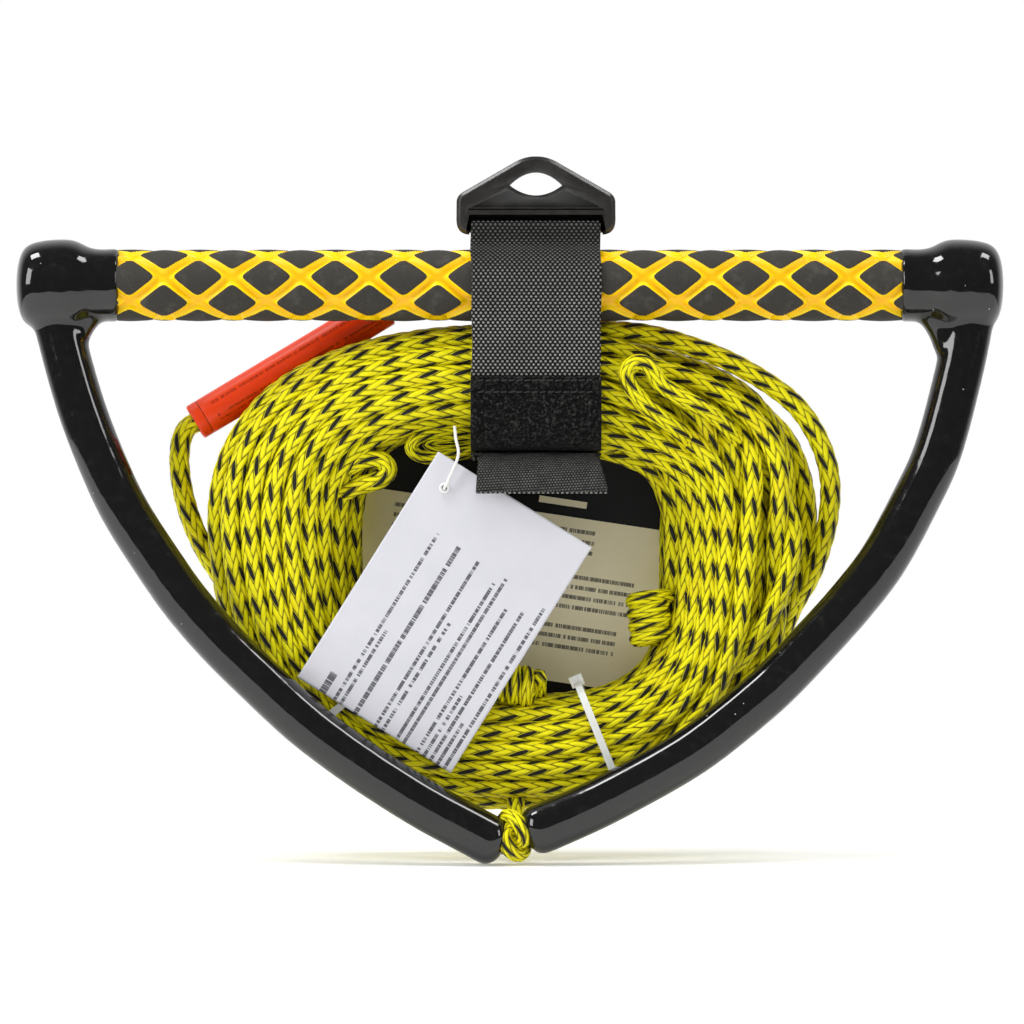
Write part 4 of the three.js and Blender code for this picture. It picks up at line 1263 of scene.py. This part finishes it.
# ---------------------------------------------------------------- tag and its string
def make_tag_leaf(name, offset, node, bow):
    """A sheet of paper with a soft bow and a few creases. UV is millimetres across and along."""
    rows, cols = 120, 84
    across, along = np.meshgrid(np.linspace(0, TAG_WIDTH, cols), np.linspace(0, TAG_LENGTH, rows))
    crease = 0.16 * np.abs(np.sin((across * 0.8 + along) * 0.06 + 0.7))
    crease = crease + 0.10 * np.sin(along * 0.11 - across * 0.05)
    lift = bow * (0.5 - np.cos(across / TAG_WIDTH * 2 * math.pi) * 0.5) + crease * 0.6
    a, b = across - TAG_WIDTH / 2, along - TAG_LENGTH / 2
    x = TAG_CENTRE[0] + a * math.cos(TAG_TURN) + b * math.sin(TAG_TURN)
    z = TAG_CENTRE[2] - a * math.sin(TAG_TURN) + b * math.cos(TAG_TURN)
    y = TAG_CENTRE[1] + offset - lift
    centre = np.stack([x, y, z], axis=-1)
    normal = np.zeros_like(centre)
    normal[..., 1] = -1
    return slab(name, centre, normal, 0.35, np.stack([across, along], axis=-1), finishes["paper"], "tag",
                [node])


make_tag_leaf("tag_front", -0.35, "tag_front_leaf", 0.35)
make_tag_leaf("tag_back", 0.35, "tag_back_leaf", 0.1)


def make_eyelet():
    """White ring pressed into the tag's hole."""
    t = np.linspace(0, 2 * math.pi, 41)[:, None]
    line = np.array([TAG_CENTRE[0], TAG_CENTRE[1] - 0.85, TAG_PIVOT_Z]) + 1.6 * (
        np.cos(t) * np.array([1.0, 0, 0]) + np.sin(t) * np.array([0, 0, 1.0]))
    tube("eyelet", line, 0.5, 10, finishes["string"], "tag")


make_eyelet()

TAG_STRING = [
    [-31.5, -16.2, -98.5], [-31.0, -20.0, -103.0], [-30.0, -21.6, -109.0], [-32.6, -21.4, -116.0],
    [TAG_CENTRE[0], -20.4, TAG_PIVOT_Z], [TAG_CENTRE[0], -16.6, TAG_PIVOT_Z],
]


def make_string():
    line = even(curve_through(TAG_STRING), 0.4)
    twist = tube("string", line, 0.6, 10, finishes["string"], "bundle", ["tag_string"],
                 lambda u, v: 0.06 * np.sin(2 * math.pi * (2 * v + u)), 0.8)


make_string()


# ---------------------------------------------------------------- carried-over CAD nodes
def dress(node, finish, bevel=0.0):
    """A better material on a CAD node, and a small bevel where its edges show."""
    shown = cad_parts[node]
    shown.data.materials.clear()
    shown.data.materials.append(finishes[finish])
    if bevel:
        rounded = shown.modifiers.new("bevel", "BEVEL")
        rounded.width, rounded.segments, rounded.angle_limit = bevel * MM, 2, math.radians(35)


dress("product_card", "card")
dress("zip_tie_right", "nylon", 0.25)
dress("zip_tie_left", "nylon", 0.25)
dress("handle_tube", "aluminium")
dress("tube_plug_left", "cork")
dress("tube_plug_right", "cork")
dress("bridle_rope_left", "rope")
dress("bridle_rope_right", "rope")


# ---------------------------------------------------------------- floor, world and lights
def make_stage():
    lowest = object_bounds()[0].z
    work = bmesh.new()
    bmesh.ops.create_circle(work, cap_ends=True, radius=0.8, segments=96)
    mesh = bpy.data.meshes.new("floor")
    work.to_mesh(mesh)
    work.free()
    floor = placed("floor", mesh)
    floor.location.z = lowest - 0.0005
    f = Finish("floor", (0.95,) * 3, Roughness=0.9, Specular_IOR_Level=0.1,
               Emission_Color=(1, 1, 1, 1), Emission_Strength=0.2)
    mesh.materials.append(f.material)


def make_world():
    """White behind the object, dark in front of it, so that the gloss shows the soft boxes."""
    world = bpy.data.worlds.new("world")
    bpy.context.scene.world = world
    world.use_nodes = True
    tree = world.node_tree
    background = tree.nodes["Background"]
    where = tree.nodes.new("ShaderNodeTexCoord")
    split = tree.nodes.new("ShaderNodeSeparateXYZ")
    tree.links.new(where.outputs["Generated"], split.inputs[0])
    ramp = tree.nodes.new("ShaderNodeMapRange")
    ramp.interpolation_type = "SMOOTHSTEP"
    tree.links.new(split.outputs["Y"], ramp.inputs["Value"])
    ramp.inputs["From Min"].default_value, ramp.inputs["From Max"].default_value = 0.15, 0.75
    ramp.inputs["To Min"].default_value, ramp.inputs["To Max"].default_value = 0.12, 1.0
    path = tree.nodes.new("ShaderNodeLightPath")
    level = tree.nodes.new("ShaderNodeMath")
    level.operation = "MAXIMUM"
    tree.links.new(path.outputs["Is Camera Ray"], level.inputs[0])
    tree.links.new(ramp.outputs[0], level.inputs[1])
    tree.links.new(level.outputs[0], background.inputs["Strength"])
    background.inputs["Color"].default_value = (1, 1, 1, 1)


def area_light(name, place, size, energy, aim=(-0.01, 0.0, -0.14), glossy=True):
    data = bpy.data.lights.new(name, "AREA")
    data.shape, data.size, data.size_y = "RECTANGLE", *size
    data.energy = energy
    light = bpy.data.objects.new(name, data)
    light.location = place
    light.rotation_euler = (Vector(aim) - Vector(place)).to_track_quat("-Z", "Y").to_euler()
    light.visible_glossy = glossy
    bpy.context.scene.collection.objects.link(light)


make_stage()
make_world()
area_light("top_box", (-0.15, -0.35, 1.25), (1.2, 0.8), 13.0, glossy=False)
area_light("rim_left", (-0.75, 0.0, 1.15), (0.35, 0.35), 6.0)
area_light("rim_right", (0.75, 0.0, 1.15), (0.35, 0.35), 4.0)
area_light("left_box", (-1.35, -0.75, 0.45), (0.55, 0.9), 13.0)
area_light("right_box", (1.35, -0.75, 0.45), (0.3, 0.8), 5.5)
area_light("front_fill", (-0.2, -2.2, 1.1), (1.4, 0.9), 8.5, glossy=False)
bpy.context.scene.view_settings.view_transform = "Standard"
